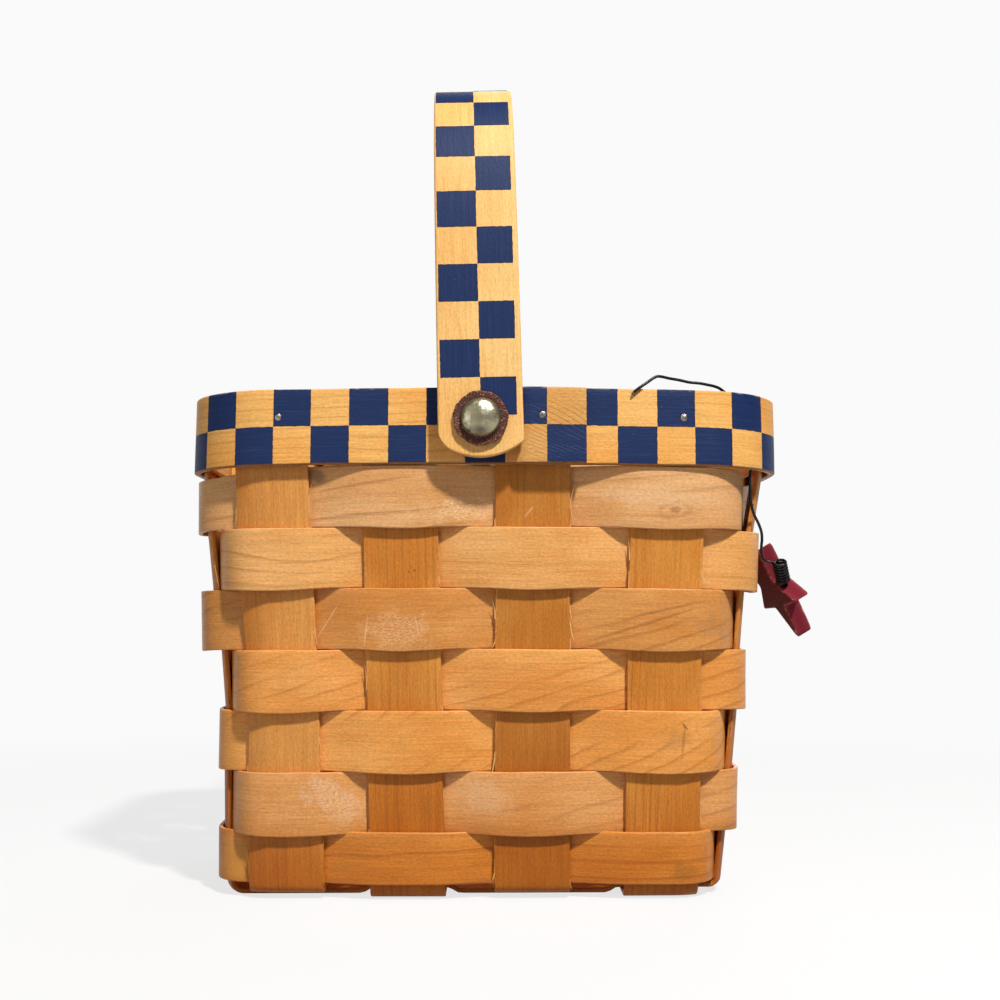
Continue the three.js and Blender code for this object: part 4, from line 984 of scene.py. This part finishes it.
def brassMaterial():
    # hammered brass: tarnish lies in patches in its rim's groove and low on the dome, where they also stand in for a
    # painted dark reflection; the top is rubbed bright, painted highlights lie on it, and painted shade along the lower
    # lip
    material, tree, shader = newMaterial("antiqueBrass", {"Metallic": 0.9, "Roughness": 0.42})
    here = objectPlace(tree)
    xyz = apart(tree, here)
    wear = wearAt(tree, here, 420.0, 0.52)
    # tarnish patches, heavier low on the dome, where they also stand in for a painted dark reflection
    up = ramped(tree, xyz["Z"], (handle["pinZ"] + 3.5) * mm, (handle["pinZ"] - 6) * mm)
    rubbed = ramped(tree, calc(tree, "ABSOLUTE", xyz["Y"]),
                    (rivet["headInner"] + 0.4) * mm, (rivet["headInner"] + 1.9) * mm)
    groove = product(tree, calc(tree, "SUBTRACT", 1.0, rubbed), 0.55)
    dark = calc(tree, "MAXIMUM", product(tree, wear["Patches"], up), groove)
    color = blended(tree, rubbed, rivet["metal"], rivet["pale"])
    # the rubbed spots are painted highlights; the smudges are tarnish and painted dark reflection
    for kind in ("rubbed", "tarnishAndDarkReflections"):
        for x, z, *shape, strength in rivet[kind]:
            spot = spotAt(tree, here, handle["pinX"] + x, handle["pinZ"] + z, *shape, Softness=0.95, Uneven=0.7)
            share = product(tree, spot["Mask"], strength)
            if kind == "rubbed":
                color = blended(tree, share, color, rivet["paintedHighlight"])
            else:
                dark = calc(tree, "MAXIMUM", dark, share)
    # painted shade along the dome's lower lip
    low = product(tree, ramped(tree, xyz["Z"], (handle["pinZ"] - 4) * mm, (handle["pinZ"] - 6) * mm), wear["Fine"])
    color = blended(tree, low, color, rivet["lip"])
    rough = calc(tree, "MULTIPLY_ADD", dark, 0.25, calc(tree, "MULTIPLY_ADD", wear["Fine"], 0.45, 0.1))
    dents = calc(tree, "MULTIPLY_ADD", wear["Fine"], 0.2, noiseAt(tree, here, (330, 330, 330)))
    color = blended(tree, product(tree, dark, 0.85), color, rivet["tarnish"])
    finishShader(tree, shader, color, rough, dents, 0.5, 0.0006)
    return material


def makeRivets():
    # a low dome with a rounded lip, its shank, and the tail hammered over the burr inside
    r, metal, small = rivet, brassMaterial(), rivet["lipRadius"]
    q = np.linspace(0.01, 1, 16)
    lip = np.linspace(0, np.pi, 9)[1:]
    dome = columns((r["headRadius"] - small) * np.sin(q * np.pi / 2),
                   r["headInner"] + 2 * small + (r["headHeight"] - 2 * small) * np.cos(q * np.pi / 2) ** 0.9)
    edge = columns(r["headRadius"] - small + small * np.sin(lip), r["headInner"] + small + small * np.cos(lip))
    tail = columns(r["tailRadius"] * np.cos(q * 1.55), r["tailOuter"] - r["tailHeight"] * np.sin(q * 1.55))
    profile = np.concatenate([dome, edge, [[r["shank"], r["headInner"]], [r["shank"], r["tailOuter"]],
                                           [r["tailRadius"] - 0.2, r["tailOuter"]]], tail])
    for end, side in (("Front", -1), ("Back", 1)):
        tubeMesh(f"rivet{end}", turnedRings(profile, side, r["wobble"]), {"turns": turnMap(profile)}, metal, "basket",
                 [f"rivet_{end.lower()}"], sharp=35)


makeRivets()

washers = {
    "bore": 2.5, "leatherInner": 81.192, "leatherThickness": 1.6, "leatherRadius": 8.9,
    "strands": 51, "twist": 0.5, "ridge": 0.15, "backPart": 0.8, "borderFrom": 0.6,
    "spacerInner": 74.192, "spacerThickness": 2.8, "spacerRadius": 8,
    "burrInner": 65.55, "burrThickness": 1, "burrRadius": 6.2,
    "leather": rgb(100, 46, 30), "leatherShadeBetweenStrands": rgb(50, 20, 14), "leatherRubbedAndGlints": rgb(198, 146, 106),
    "burr": rgb(176, 166, 132), "burrDark": rgb(90, 80, 58),
}


def washerProfile(bore, radius, inner, thickness, edge=0.35, steps=14):  # a closed loop with rounded outer corners
    arc = np.linspace(0, np.pi / 2, 5)
    outerFace = columns(np.linspace(bore, radius - edge, steps), np.full(steps, inner + thickness))
    high = columns(radius - edge + edge * np.sin(arc), inner + thickness - edge + edge * np.cos(arc))[1:]
    low = columns(radius - edge + edge * np.cos(arc), inner + edge - edge * np.sin(arc))
    return np.concatenate([outerFace, high, low, [[bore, inner]]])


def washerPiece(name, profile, side, material, node, strands=0, count=64):
    # turned about the rivets' line; a leather one has slanting ridges, raised sines of angle and radius
    w = washers
    a = fullTurn(count)[:, None]
    r, out = profile[None, :, 0], profile[None, :, 1]
    share = np.clip((r - w["bore"]) / (profile[:, 0].max() - w["bore"]), 0, 1)
    front = out > profile[:, 1].min() + w["backPart"]
    ridge = 0.5 + 0.5 * np.sin(strands * a + w["twist"] * strands * share)
    ridge = w["ridge"] * ridge * share * front * (strands > 0)
    uneven = (strands > 0) * (0.12 * np.sin(7 * a + 1) + 0.08 * np.sin(17 * a))
    r = r + (ridge * 0.6 + uneven) * (share > w["borderFrom"])
    out = out - ridge
    rings = columns(handle["pinX"] + r * np.cos(a), side * (out + 0 * a), handle["pinZ"] + r * np.sin(a))
    turns = gridOf(np.linspace(0, 1, count + 1), np.linspace(0, 1, len(profile) + 1))
    ridges = np.pad(columns(ridge / w["ridge"], share), ((0, 1), (0, 1), (0, 0)), mode="wrap")
    maps = {"turns": turns, "ridge": ridges}
    tubeMesh(name, rings, maps, material, "basket", [node], closed=True, sharp=60)


def leatherMaterial():
    # painted shade between the strands, rubbed on their tops, pale flecks that are painted glints of caught light,
    # with a fine pebble
    material, tree, shader = newMaterial("oxbloodLeather", {"Roughness": 0.6, "Specular IOR Level": 0.35})
    here, ridge = objectPlace(tree), apart(tree, uvPlace(tree, "ridge"))
    wear = wearAt(tree, here, 650.0, 0.5)
    # painted shade between the strands
    color = blended(tree, ramped(tree, ridge["X"], 0.15, 0.75), washers["leatherShadeBetweenStrands"], washers["leather"])
    # painted glints: pale flecks of light caught on the strands
    paintedGlintFlecks = ramped(tree, noiseAt(tree, here, (1500, 1500, 1500), 2, 0.6), 0.6, 0.68)
    border = product(tree, wear["Patches"], ramped(tree, ridge["Y"], 0.8, 0.95), 0.5)
    # real wear at the outer border, and painted glints from the flecks
    rubbed = calc(tree, "MAXIMUM", border, product(tree, paintedGlintFlecks, 0.75))
    finishShader(tree, shader, blended(tree, rubbed, color, washers["leatherRubbedAndGlints"]),
                 calc(tree, "MULTIPLY_ADD", wear["Fine"], 0.3, 0.42), wear["Fine"], 0.35, 0.0003)
    return material


def steelMaterial(name, base, dark, ringed=False):
    material, tree, shader = newMaterial(name, {"Metallic": 1.0, "Roughness": 0.3})
    wear = wearAt(tree, objectPlace(tree), 1100.0, 0.5)
    # ringed heads grow darker towards their edge
    ring = ramped(tree, apart(tree, uvPlace(tree, "turns"))["Y"], 0.7, 0.95) if ringed else 0.0
    color = blended(tree, product(tree, wear["Patches"], 0.7), base, dark)
    finishShader(tree, shader, blended(tree, ring, color, dark),
                 calc(tree, "MULTIPLY_ADD", wear["Fine"], 0.35, 0.14), wear["Fine"], 0.3, 0.0002)
    return material


def makeWashers():
    w = washers
    leather, steel = leatherMaterial(), steelMaterial("burrMetal", w["burr"], w["burrDark"])
    ring = washerProfile(w["bore"], w["leatherRadius"], w["leatherInner"], w["leatherThickness"], steps=40)
    spacer = washerProfile(w["bore"], w["spacerRadius"], w["spacerInner"], w["spacerThickness"])
    burr = washerProfile(w["bore"], w["burrRadius"], w["burrInner"], w["burrThickness"], edge=0.2)
    for end, side in (("Front", -1), ("Back", 1)):
        low = end.lower()
        washerPiece(f"leatherWasher{end}", ring, side, leather, f"leather_washer_{low}", w["strands"],
                    8 * w["strands"])
        washerPiece(f"spacerWasher{end}", spacer, side, leather, f"spacer_washer_{low}")
        washerPiece(f"burrWasher{end}", burr, side, steel, f"burr_washer_{low}")


makeWashers()
print("rivets and washers made")

nails = {"uprights": [0, 2, 3, 5, 7, 9, 10, 13], "shift": [3, 3, 4.5, 0, 0, 0, 0, 0], "aboveFoot": 16,
         "shank": 1.3, "dome": 0.35, "inner": 2.3, "innerHeight": 0.8, "proud": 0.3, "sunk": 0.1,
         "steel": rgb(164, 160, 148), "nailDark": rgb(46, 40, 36)}


def makeNails():
    # a profile turned about the line from the inner band's face to the outer one's, a low dome at its outer end
    n, w = nails, wallShape
    z = w["rimFoot"] + n["aboveFoot"]
    length = lengthRound(z)
    flare = rim["flare"] * (1 - n["aboveFoot"] / (w["rimHead"] - w["rimFoot"]))
    steel = steelMaterial("nailSteel", n["steel"], n["nailDark"], True)
    q = np.linspace(0, 1, 7)
    a = fullTurn(24)
    for number, (k, shift) in enumerate(zip(n["uprights"], n["shift"]), 1):
        s = float(uprightMiddle(z, k)) + shift
        further = rim["lapStep"] if k == 2 else float(outerOffset(s, length)) - rim["outerMiddle"]
        top = wallPoint(s, z, rim["outerMiddle"] + rim["outerThickness"] / 2 + flare + further - n["sunk"])
        foot = wallPoint(s, z, rim["innerMiddle"] - rim["innerThickness"] / 2 - n["proud"])
        reach = np.linalg.norm(top - foot)
        profile = np.concatenate([
            columns(n["shank"] * np.sin(q * np.pi / 2) + 0.01, reach + n["dome"] * np.cos(q * np.pi / 2)),
            [[n["shank"], 0], [n["inner"] - 0.15, 0], [n["inner"], -0.15], [n["inner"], 0.2 - n["innerHeight"]],
             [n["inner"] * 0.8, -n["innerHeight"]], [0.01, -n["innerHeight"]]]])
        axis = (top - foot) / reach
        level = np.array([-axis[1], axis[0], 0]) / np.hypot(axis[0], axis[1])
        ring = np.cos(a)[:, None] * level + np.sin(a)[:, None] * np.cross(axis, level)
        rings = foot + profile[:, 1][:, None, None] * axis + profile[:, 0][:, None, None] * ring[None]
        turns = gridOf(profile[:, 0] / n["shank"], np.linspace(0, 1, 25))[..., ::-1]
        tubeMesh(f"rimNail{number}", rings, {"turns": turns}, steel, "basket", [f"rim_nail_{number}"],
                 sharp=40)


makeNails()
print("nails made")

star = {
    "place": (106.515, -25.016, 103.553), "lean": 30, "yaw": 7.2, "turn": -13.4, "radius": 20, "waist": 0.42,
    "thickness": 6.5, "rounding": 1.0, "bevel": 0.85, "perEdge": 40,
    "holeAt": (106.7012, -36.1116, 104.0421), "holeAxis": (-0.28160, -0.57495, 0.76820),
    "holeRadius": 0.95, "holeDepth": 4.6,
    # the sides colour below is painted light on the thickness faces
    "paint": rgb(112, 20, 38), "paintDeep": rgb(84, 10, 26), "sides": rgb(130, 40, 54),
    "paintPale": rgb(176, 96, 100), "bare": rgb(222, 158, 128),
}


def starLoop(inset):
    # ten corners with their edges moved in by the inset, sampled evenly and smoothed by a bell as wide as the rounding
    s = star
    a = np.radians(s["turn"] + 36 * np.arange(10))
    r = np.where(np.arange(10) % 2 == 0, s["radius"], s["radius"] * s["waist"])
    corner = columns(r * np.cos(a), r * np.sin(a))
    edge = np.roll(corner, -1, 0) - corner
    step = np.linalg.norm(edge, axis=-1).mean() / s["perEdge"]
    after = columns(-edge[:, 1], edge[:, 0]) / np.linalg.norm(edge, axis=-1)[:, None]
    before = np.roll(after, 1, 0)
    corner = corner + inset * (before + after) / (1 + (before * after).sum(-1, keepdims=True))
    share = np.linspace(0, 1, s["perEdge"], endpoint=False)[None, :, None]
    loop = mixed(corner[:, None], np.roll(corner, -1, 0)[:, None], share).reshape(-1, 2)
    reach = np.arange(-12, 13)
    weight = np.exp(-(reach * step / s["rounding"]) ** 2 / 2)
    return sum(np.roll(loop, k, 0) * b for k, b in zip(reach, weight / weight.sum()))


def makeStar():
    # the loop carried through the thickness: face, quarter-round bevel, side, bevel and back
    s = star
    q = np.linspace(0, np.pi / 2, 6)
    half, b = s["thickness"] / 2, s["bevel"]
    inset = np.concatenate([[b + 0.2], b * (1 - np.sin(q)), [0, 0, 0]])
    inset = np.concatenate([inset, inset[:-3][::-1]])
    level = np.concatenate([[half], half - b * (1 - np.cos(q)), [1.2, 0, -1.2]])
    level = np.concatenate([level, -level[:-3][::-1]])
    # how worn each loop is, and how far it belongs to the sides
    worn = np.array([0.05, 0.5, 0.75, 1, 1, 0.9, 0.5, 0.1, 0, 0.1, 0.5, 0.9, 1, 1, 0.75, 0.5, 0.05])
    side = np.array([0, 0, 0, 0, 0.2, 0.6, 1, 1, 1, 1, 1, 0.6, 0.2, 0, 0, 0, 0])
    lean, yaw = math.radians(s["lean"]), math.radians(s["yaw"])
    out = np.array([math.cos(lean) * math.cos(yaw), math.cos(lean) * math.sin(yaw), math.sin(lean)])
    near = np.array([math.sin(yaw), -math.cos(yaw), 0])
    up = np.cross(out, near)
    up = up if up[2] > 0 else -up
    flat = np.stack([starLoop(i) for i in inset])
    rings = np.array(s["place"]) + flat[..., :1] * near + flat[..., 1:] * up + level[:, None, None] * out
    maps = {"worn": np.repeat(columns(worn, side)[:, None], flat.shape[1] + 1, 1)}
    piece = tubeMesh("woodenStar", rings, maps, starMaterial(), "star", ["star"], sharp=40)
    drillHole(piece)


def drillHole(piece):
    # a small round bore where the wire goes in, cut with a Boolean whose result becomes the piece's mesh
    s, count = star, 20
    axis = Vector(s["holeAxis"]).normalized()
    turn = np.array(axis.to_track_quat("Z", "Y").to_matrix())
    a = fullTurn(count)
    ring = columns(s["holeRadius"] * np.cos(a), s["holeRadius"] * np.sin(a), 0 * a)
    points = np.concatenate([ring + [0, 0, -s["holeDepth"]], ring + [0, 0, 3]]) @ turn.T + np.array(s["holeAt"])
    sides = [[i, (i + 1) % count, count + (i + 1) % count, count + i] for i in range(count)]
    tool = meshFrom("boreTool", points, sides + [list(range(count))[::-1], list(range(count, 2 * count))])
    bore = inScene("boreTool", tool)
    cut = piece.modifiers.new("bore", "BOOLEAN")
    cut.operation, cut.object, cut.solver = "DIFFERENCE", bore, "EXACT"
    bpy.context.view_layer.update()
    result = bpy.data.meshes.new_from_object(piece.evaluated_get(bpy.context.evaluated_depsgraph_get()))
    piece.modifiers.remove(cut)
    piece.data = result
    result.set_sharp_from_angle(angle=math.radians(40))
    bpy.data.objects.remove(bore)


def starMaterial():
    # maroon paint over planed wood: grain shows as fine ridges, edges are rubbed to rose and then to bare wood;
    # the thickness faces get a lighter red, painted light that stands for the light on the arms' upper edges
    material, tree, shader = newMaterial("maroonPaint", {"Roughness": 0.5, "Specular IOR Level": 0.07})
    here, worn = objectPlace(tree), apart(tree, uvPlace(tree, "worn"))
    ridges = noiseAt(tree, here, (1400, 90, 1400), 3.0, turn=(0.5, 0.2, 0.3))
    wear = wearAt(tree, here, 500.0, 0.5)
    color = blended(tree, ramped(tree, ridges, 0.35, 0.7), star["paintDeep"], star["paint"])
    # painted light: the thickness faces lighter, for the light that falls on the arms' upper edges
    color = blended(tree, product(tree, worn["Y"], 0.85), color, star["sides"])
    rose = product(tree, worn["X"], ramped(tree, wear["Fine"], 0.35, 0.6), 0.55)
    color = blended(tree, rose, color, star["paintPale"])
    bare = product(tree, ramped(tree, worn["X"], 0.7, 1.0), wear["Patches"])
    finishShader(tree, shader, blended(tree, product(tree, bare, 0.7), color, star["bare"]),
                 calc(tree, "MULTIPLY_ADD", wear["Fine"], 0.25, 0.42),
                 calc(tree, "MULTIPLY_ADD", ridges, 0.6, product(tree, bare, -0.4)), 0.35, 0.0003)
    return material


makeStar()
print("star made")

starWire = {
    "radius": 0.5, "dive": 0.34, "coilRadius": 2.15, "coilPitch": 1.25, "coilTurns": 7, "coilLift": 1.9,
    "turnIn": 3.6, "sinkStep": 0.32, "endAbove": (0.4, -1), "endShort": 0.9, "step": 0.55, "around": 12,
    # along the wall, out from it and up, in millimetres: over the rim, then below it
    "over": [(-34.3, 4.6, -2.1), (-33.1, 4.55, -0.8), (-31.4, 4.45, 0.5), (-28.9, 3.7, 2.3), (-26.7, 3, 3.9),
             (-25.4, 2.6, 4.5), (-24, 2.2, 4.5), (-21.3, 1.5, 4.1), (-17.8, 0.8, 3.7), (-14.2, 0.3, 3.1),
             (-10.7, 0, 2.9), (-7.8, 0, 2.5), (-5.3, 0, 2.1), (-3.4, 0, 1.5), (-1.8, 0, 0.5), (0, 0, -0.7),
             (3.6, 0, -8.5), (7.7, 0.1, -17)],
    "down": [(-6, 0.2, 1.5), (-6, 0.2, -2.9), (-5.5, 0.4, -6.3), (-5.3, 0.8, -9.7), (-3.7, 1.7, -14.1),
             (-0.3, 2.8, -17.5), (2.5, 3.7, -20.2), (4.6, 4.2, -22.7), (6.3, 4.5, -25.2), (8, 5.4, -27.8),
             (9.6, 6.8, -29.6)],
    "black": rgb(5, 5, 8), "bare": rgb(96, 94, 92),
}


def smoothPath(points, step):
    # centripetal Catmull-Rom: each stretch is a cubic whose end slopes follow from the roots of the chords
    p = np.concatenate([[2 * points[0] - points[1]], points, [2 * points[-1] - points[-2]]])
    gap = np.sqrt(np.linalg.norm(np.diff(p, axis=0), axis=-1))
    fine = []
    for i in range(1, len(p) - 2):
        a, b, c = gap[i - 1], gap[i], gap[i + 1]
        t1 = ((p[i] - p[i - 1]) / a - (p[i + 1] - p[i - 1]) / (a + b) + (p[i + 1] - p[i]) / b) * b
        t2 = ((p[i + 1] - p[i]) / b - (p[i + 2] - p[i]) / (b + c) + (p[i + 2] - p[i + 1]) / c) * b
        t = np.linspace(0, 1, 24, endpoint=False)[:, None]
        squared, cubed = 3 * (p[i + 1] - p[i]) - 2 * t1 - t2, 2 * (p[i] - p[i + 1]) + t1 + t2
        fine.append(p[i] + t1 * t + squared * t ** 2 + cubed * t ** 3)
    fine = np.concatenate(fine + [p[-2:-1]])
    run = runLength(fine)
    even = np.linspace(0, run[-1], int(run[-1] / step))
    return columns(*[np.interp(even, run, fine[:, k]) for k in range(3)]), even


def wirePoints():
    w, z = starWire, wallShape["rimFoot"]
    half = wallShape["uprightWidth"] / 2
    before, after = float(uprightMiddle(z, 3)) + half, float(uprightMiddle(z, 4)) - half
    dive = mixed(before, after, w["dive"])
    over, down = np.array(w["over"]), np.array(w["down"])
    over = wallPoint(dive + over[:, 0], wallShape["rimHead"] + over[:, 2], over[:, 1])
    down = wallPoint(after + down[:, 0], z + down[:, 2], down[:, 1])
    axis, mouth = np.array(star["holeAxis"]), np.array(star["holeAt"])
    axis = unit(axis)
    side = unit(np.array([-1, 0, 0]) + axis * axis[0])
    near = unit(np.cross(axis, side))

    def around(turns, radius, up):  # a helix about the hole's axis
        a = 2 * np.pi * turns[:, None]
        return mouth + axis * (w["coilLift"] + up[:, None]) + radius[:, None] * (side * np.cos(a) + near * np.sin(a))

    k = np.arange(w["coilTurns"] * 8 + 1) / 8
    coil = around(k, np.full(len(k), w["coilRadius"]), (w["coilTurns"] - k) * w["coilPitch"])
    j = np.array([1.0, 2, 3])
    turnIn = around(w["coilTurns"] + j / 8, w["coilRadius"] * (1 - j / w["turnIn"]), -w["sinkStep"] * j)
    end = mouth + axis * np.array([*w["endAbove"], w["endShort"] - star["holeDepth"]])[:, None]
    return np.concatenate([over, down, coil, turnIn, end])


def makeWire():
    # a circle carried along the path without twist; its first end is cut off square and bright
    w = starWire
    path, run = smoothPath(wirePoints(), w["step"])
    tangent = unit(np.gradient(path, axis=0))
    frames = [np.cross(tangent[0], [0, 0, 1.0])]
    for t in tangent[1:]:
        frames.append(unit(frames[-1] - t * (frames[-1] @ t)))
    n = np.array(frames)
    b = np.cross(tangent, n)
    a = fullTurn(w["around"])[None, :, None]
    rings = path[:, None] + w["radius"] * (np.cos(a) * n[:, None] + np.sin(a) * b[:, None])
    maps = {"run": gridOf(run * mm, np.linspace(0, 1, w["around"] + 1))}
    tubeMesh("starWire", rings, maps, wireMaterial(), "basket", ["star_wire"], sharp=70)
    print("wire", round(float(run[-1]), 1), "mm long")


def wireMaterial():
    material, tree, shader = newMaterial("blackWire", {"Metallic": 0.0, "Roughness": 0.32, "Specular IOR Level": 0.3})
    wear = wearAt(tree, objectPlace(tree), 800.0, 0.28)
    cut = ramped(tree, apart(tree, uvPlace(tree, "run"))["X"], 0.0012, 0.0006)
    color = blended(tree, product(tree, wear["Patches"], 0.4), starWire["black"], starWire["bare"])
    finishShader(tree, shader, blended(tree, cut, color, starWire["bare"]),
                 calc(tree, "MULTIPLY_ADD", wear["Fine"], 0.35, 0.16), wear["Fine"], 0.2, 0.0001)
    return material


makeWire()
print("wire made")

stage = {"halfWidth": 5.0, "near": -4.0, "far": 2.2, "cove": 1.2, "height": 5.0, "drop": 0.0002,
         "color": (0.955, 0.955, 0.955, 1), "bounce": (0.34, 0.34, 0.34, 1),
         "shadowShare": 0.22, "shadowNear": 0.28, "shadowFar": 0.6}


def backdropMaterial():
    # shows its own pale colour, and near the object also a share of the light that falls on it, so shadows stay;
    # light that bounces off it is weaker, which keeps the weave's small shadows deep
    s = stage
    material, tree, shader = newMaterial("paleBackdrop", {"Roughness": 0.9, "Specular IOR Level": 0.1})
    glow = shaderNode(tree, "ShaderNodeEmission", {"Color": s["color"], "Strength": 1.0})
    rays = shaderNode(tree, "ShaderNodeLightPath").outputs
    mirrored = calc(tree, "MAXIMUM", rays["Is Glossy Ray"], rays["Is Transmission Ray"])
    seen = calc(tree, "MAXIMUM", rays["Is Camera Ray"], mirrored)
    link(tree, blended(tree, rays["Is Camera Ray"], s["bounce"], s["color"]), shader.inputs["Base Color"])
    far = shaderNode(tree, "ShaderNodeVectorMath", {0: objectPlace(tree)}, operation="LENGTH").outputs["Value"]
    own = ramped(tree, far, s["shadowNear"], s["shadowFar"], 1 - s["shadowShare"], 1.0)
    mixer = shaderNode(tree, "ShaderNodeMixShader", {0: product(tree, seen, own)})
    link(tree, shader.outputs[0], mixer.inputs[1])
    link(tree, glow.outputs[0], mixer.inputs[2])
    link(tree, mixer.outputs[0], tree.nodes["Material Output"].inputs["Surface"])
    return material


def makeBackdrop():
    # floor, quarter-round cove and wall in one sheet
    s = stage
    a = np.linspace(0, np.pi / 2, 17)
    y = np.concatenate([[s["near"], 0], s["far"] + s["cove"] * np.sin(a), [s["far"] + s["cove"]]])
    z = np.concatenate([[0, 0], s["cove"] * (1 - np.cos(a)), [s["height"]]]) - s["drop"]
    points = np.stack([columns(np.full(len(y), x), y, z) for x in (-s["halfWidth"], s["halfWidth"])], 1)
    n = np.arange(len(y) - 1)[:, None] * 2
    mesh = meshFrom("paleBackdrop", points, (n + np.array([[0, 1, 3, 2]])).tolist(), 1.0)
    mesh.shade_smooth()
    mesh.materials.append(backdropMaterial())
    inScene("paleBackdrop", mesh)


lamps = {
    "key": {"place": (0.47, -1.0, 1.42), "size": 0.14, "power": 34.0, "color": (1.0, 0.985, 0.965)},
    "front": {"place": (-1.0, -1.25, 0.45), "size": 1.1, "power": 3.8, "color": (1.0, 0.99, 0.98)},
    "back": {"place": (0.4, 1.5, 1.1), "size": 1.2, "power": 10.0, "color": (0.97, 0.985, 1.0)},
}
room = {"lit": (0, 0, 0.09), "strength": 0.09, "shown": (0.955, 0.955, 0.955, 1)}


def makeLights():
    for name, lamp in lamps.items():
        light = bpy.data.lights.new(name + "Lamp", "AREA")
        light.shape = "DISK"
        light.size, light.energy, light.color = lamp["size"], lamp["power"], lamp["color"]
        piece = inScene(name + "Lamp", light)
        piece.location = lamp["place"]
        piece.rotation_euler = (Vector(room["lit"]) - Vector(lamp["place"])).to_track_quat("-Z", "Y").to_euler()
    bpy.context.scene.world = world = bpy.data.worlds.new("paleRoom")
    world.use_nodes = True
    tree = world.node_tree
    light = tree.nodes["Background"]
    fill(tree, light, {"Color": (1, 1, 1, 1), "Strength": room["strength"]})
    shown = shaderNode(tree, "ShaderNodeBackground", {"Color": room["shown"], "Strength": 1.0})
    rays = shaderNode(tree, "ShaderNodeLightPath").outputs
    seen = calc(tree, "MAXIMUM", rays["Is Camera Ray"], rays["Is Transmission Ray"])
    mixer = shaderNode(tree, "ShaderNodeMixShader", {0: seen})
    link(tree, light.outputs[0], mixer.inputs[1])
    link(tree, shown.outputs[0], mixer.inputs[2])
    link(tree, mixer.outputs[0], tree.nodes["World Output"].inputs["Surface"])


makeBackdrop()
makeLights()
bpy.context.scene.view_settings.view_transform = "Standard"
print("backdrop and lights made")
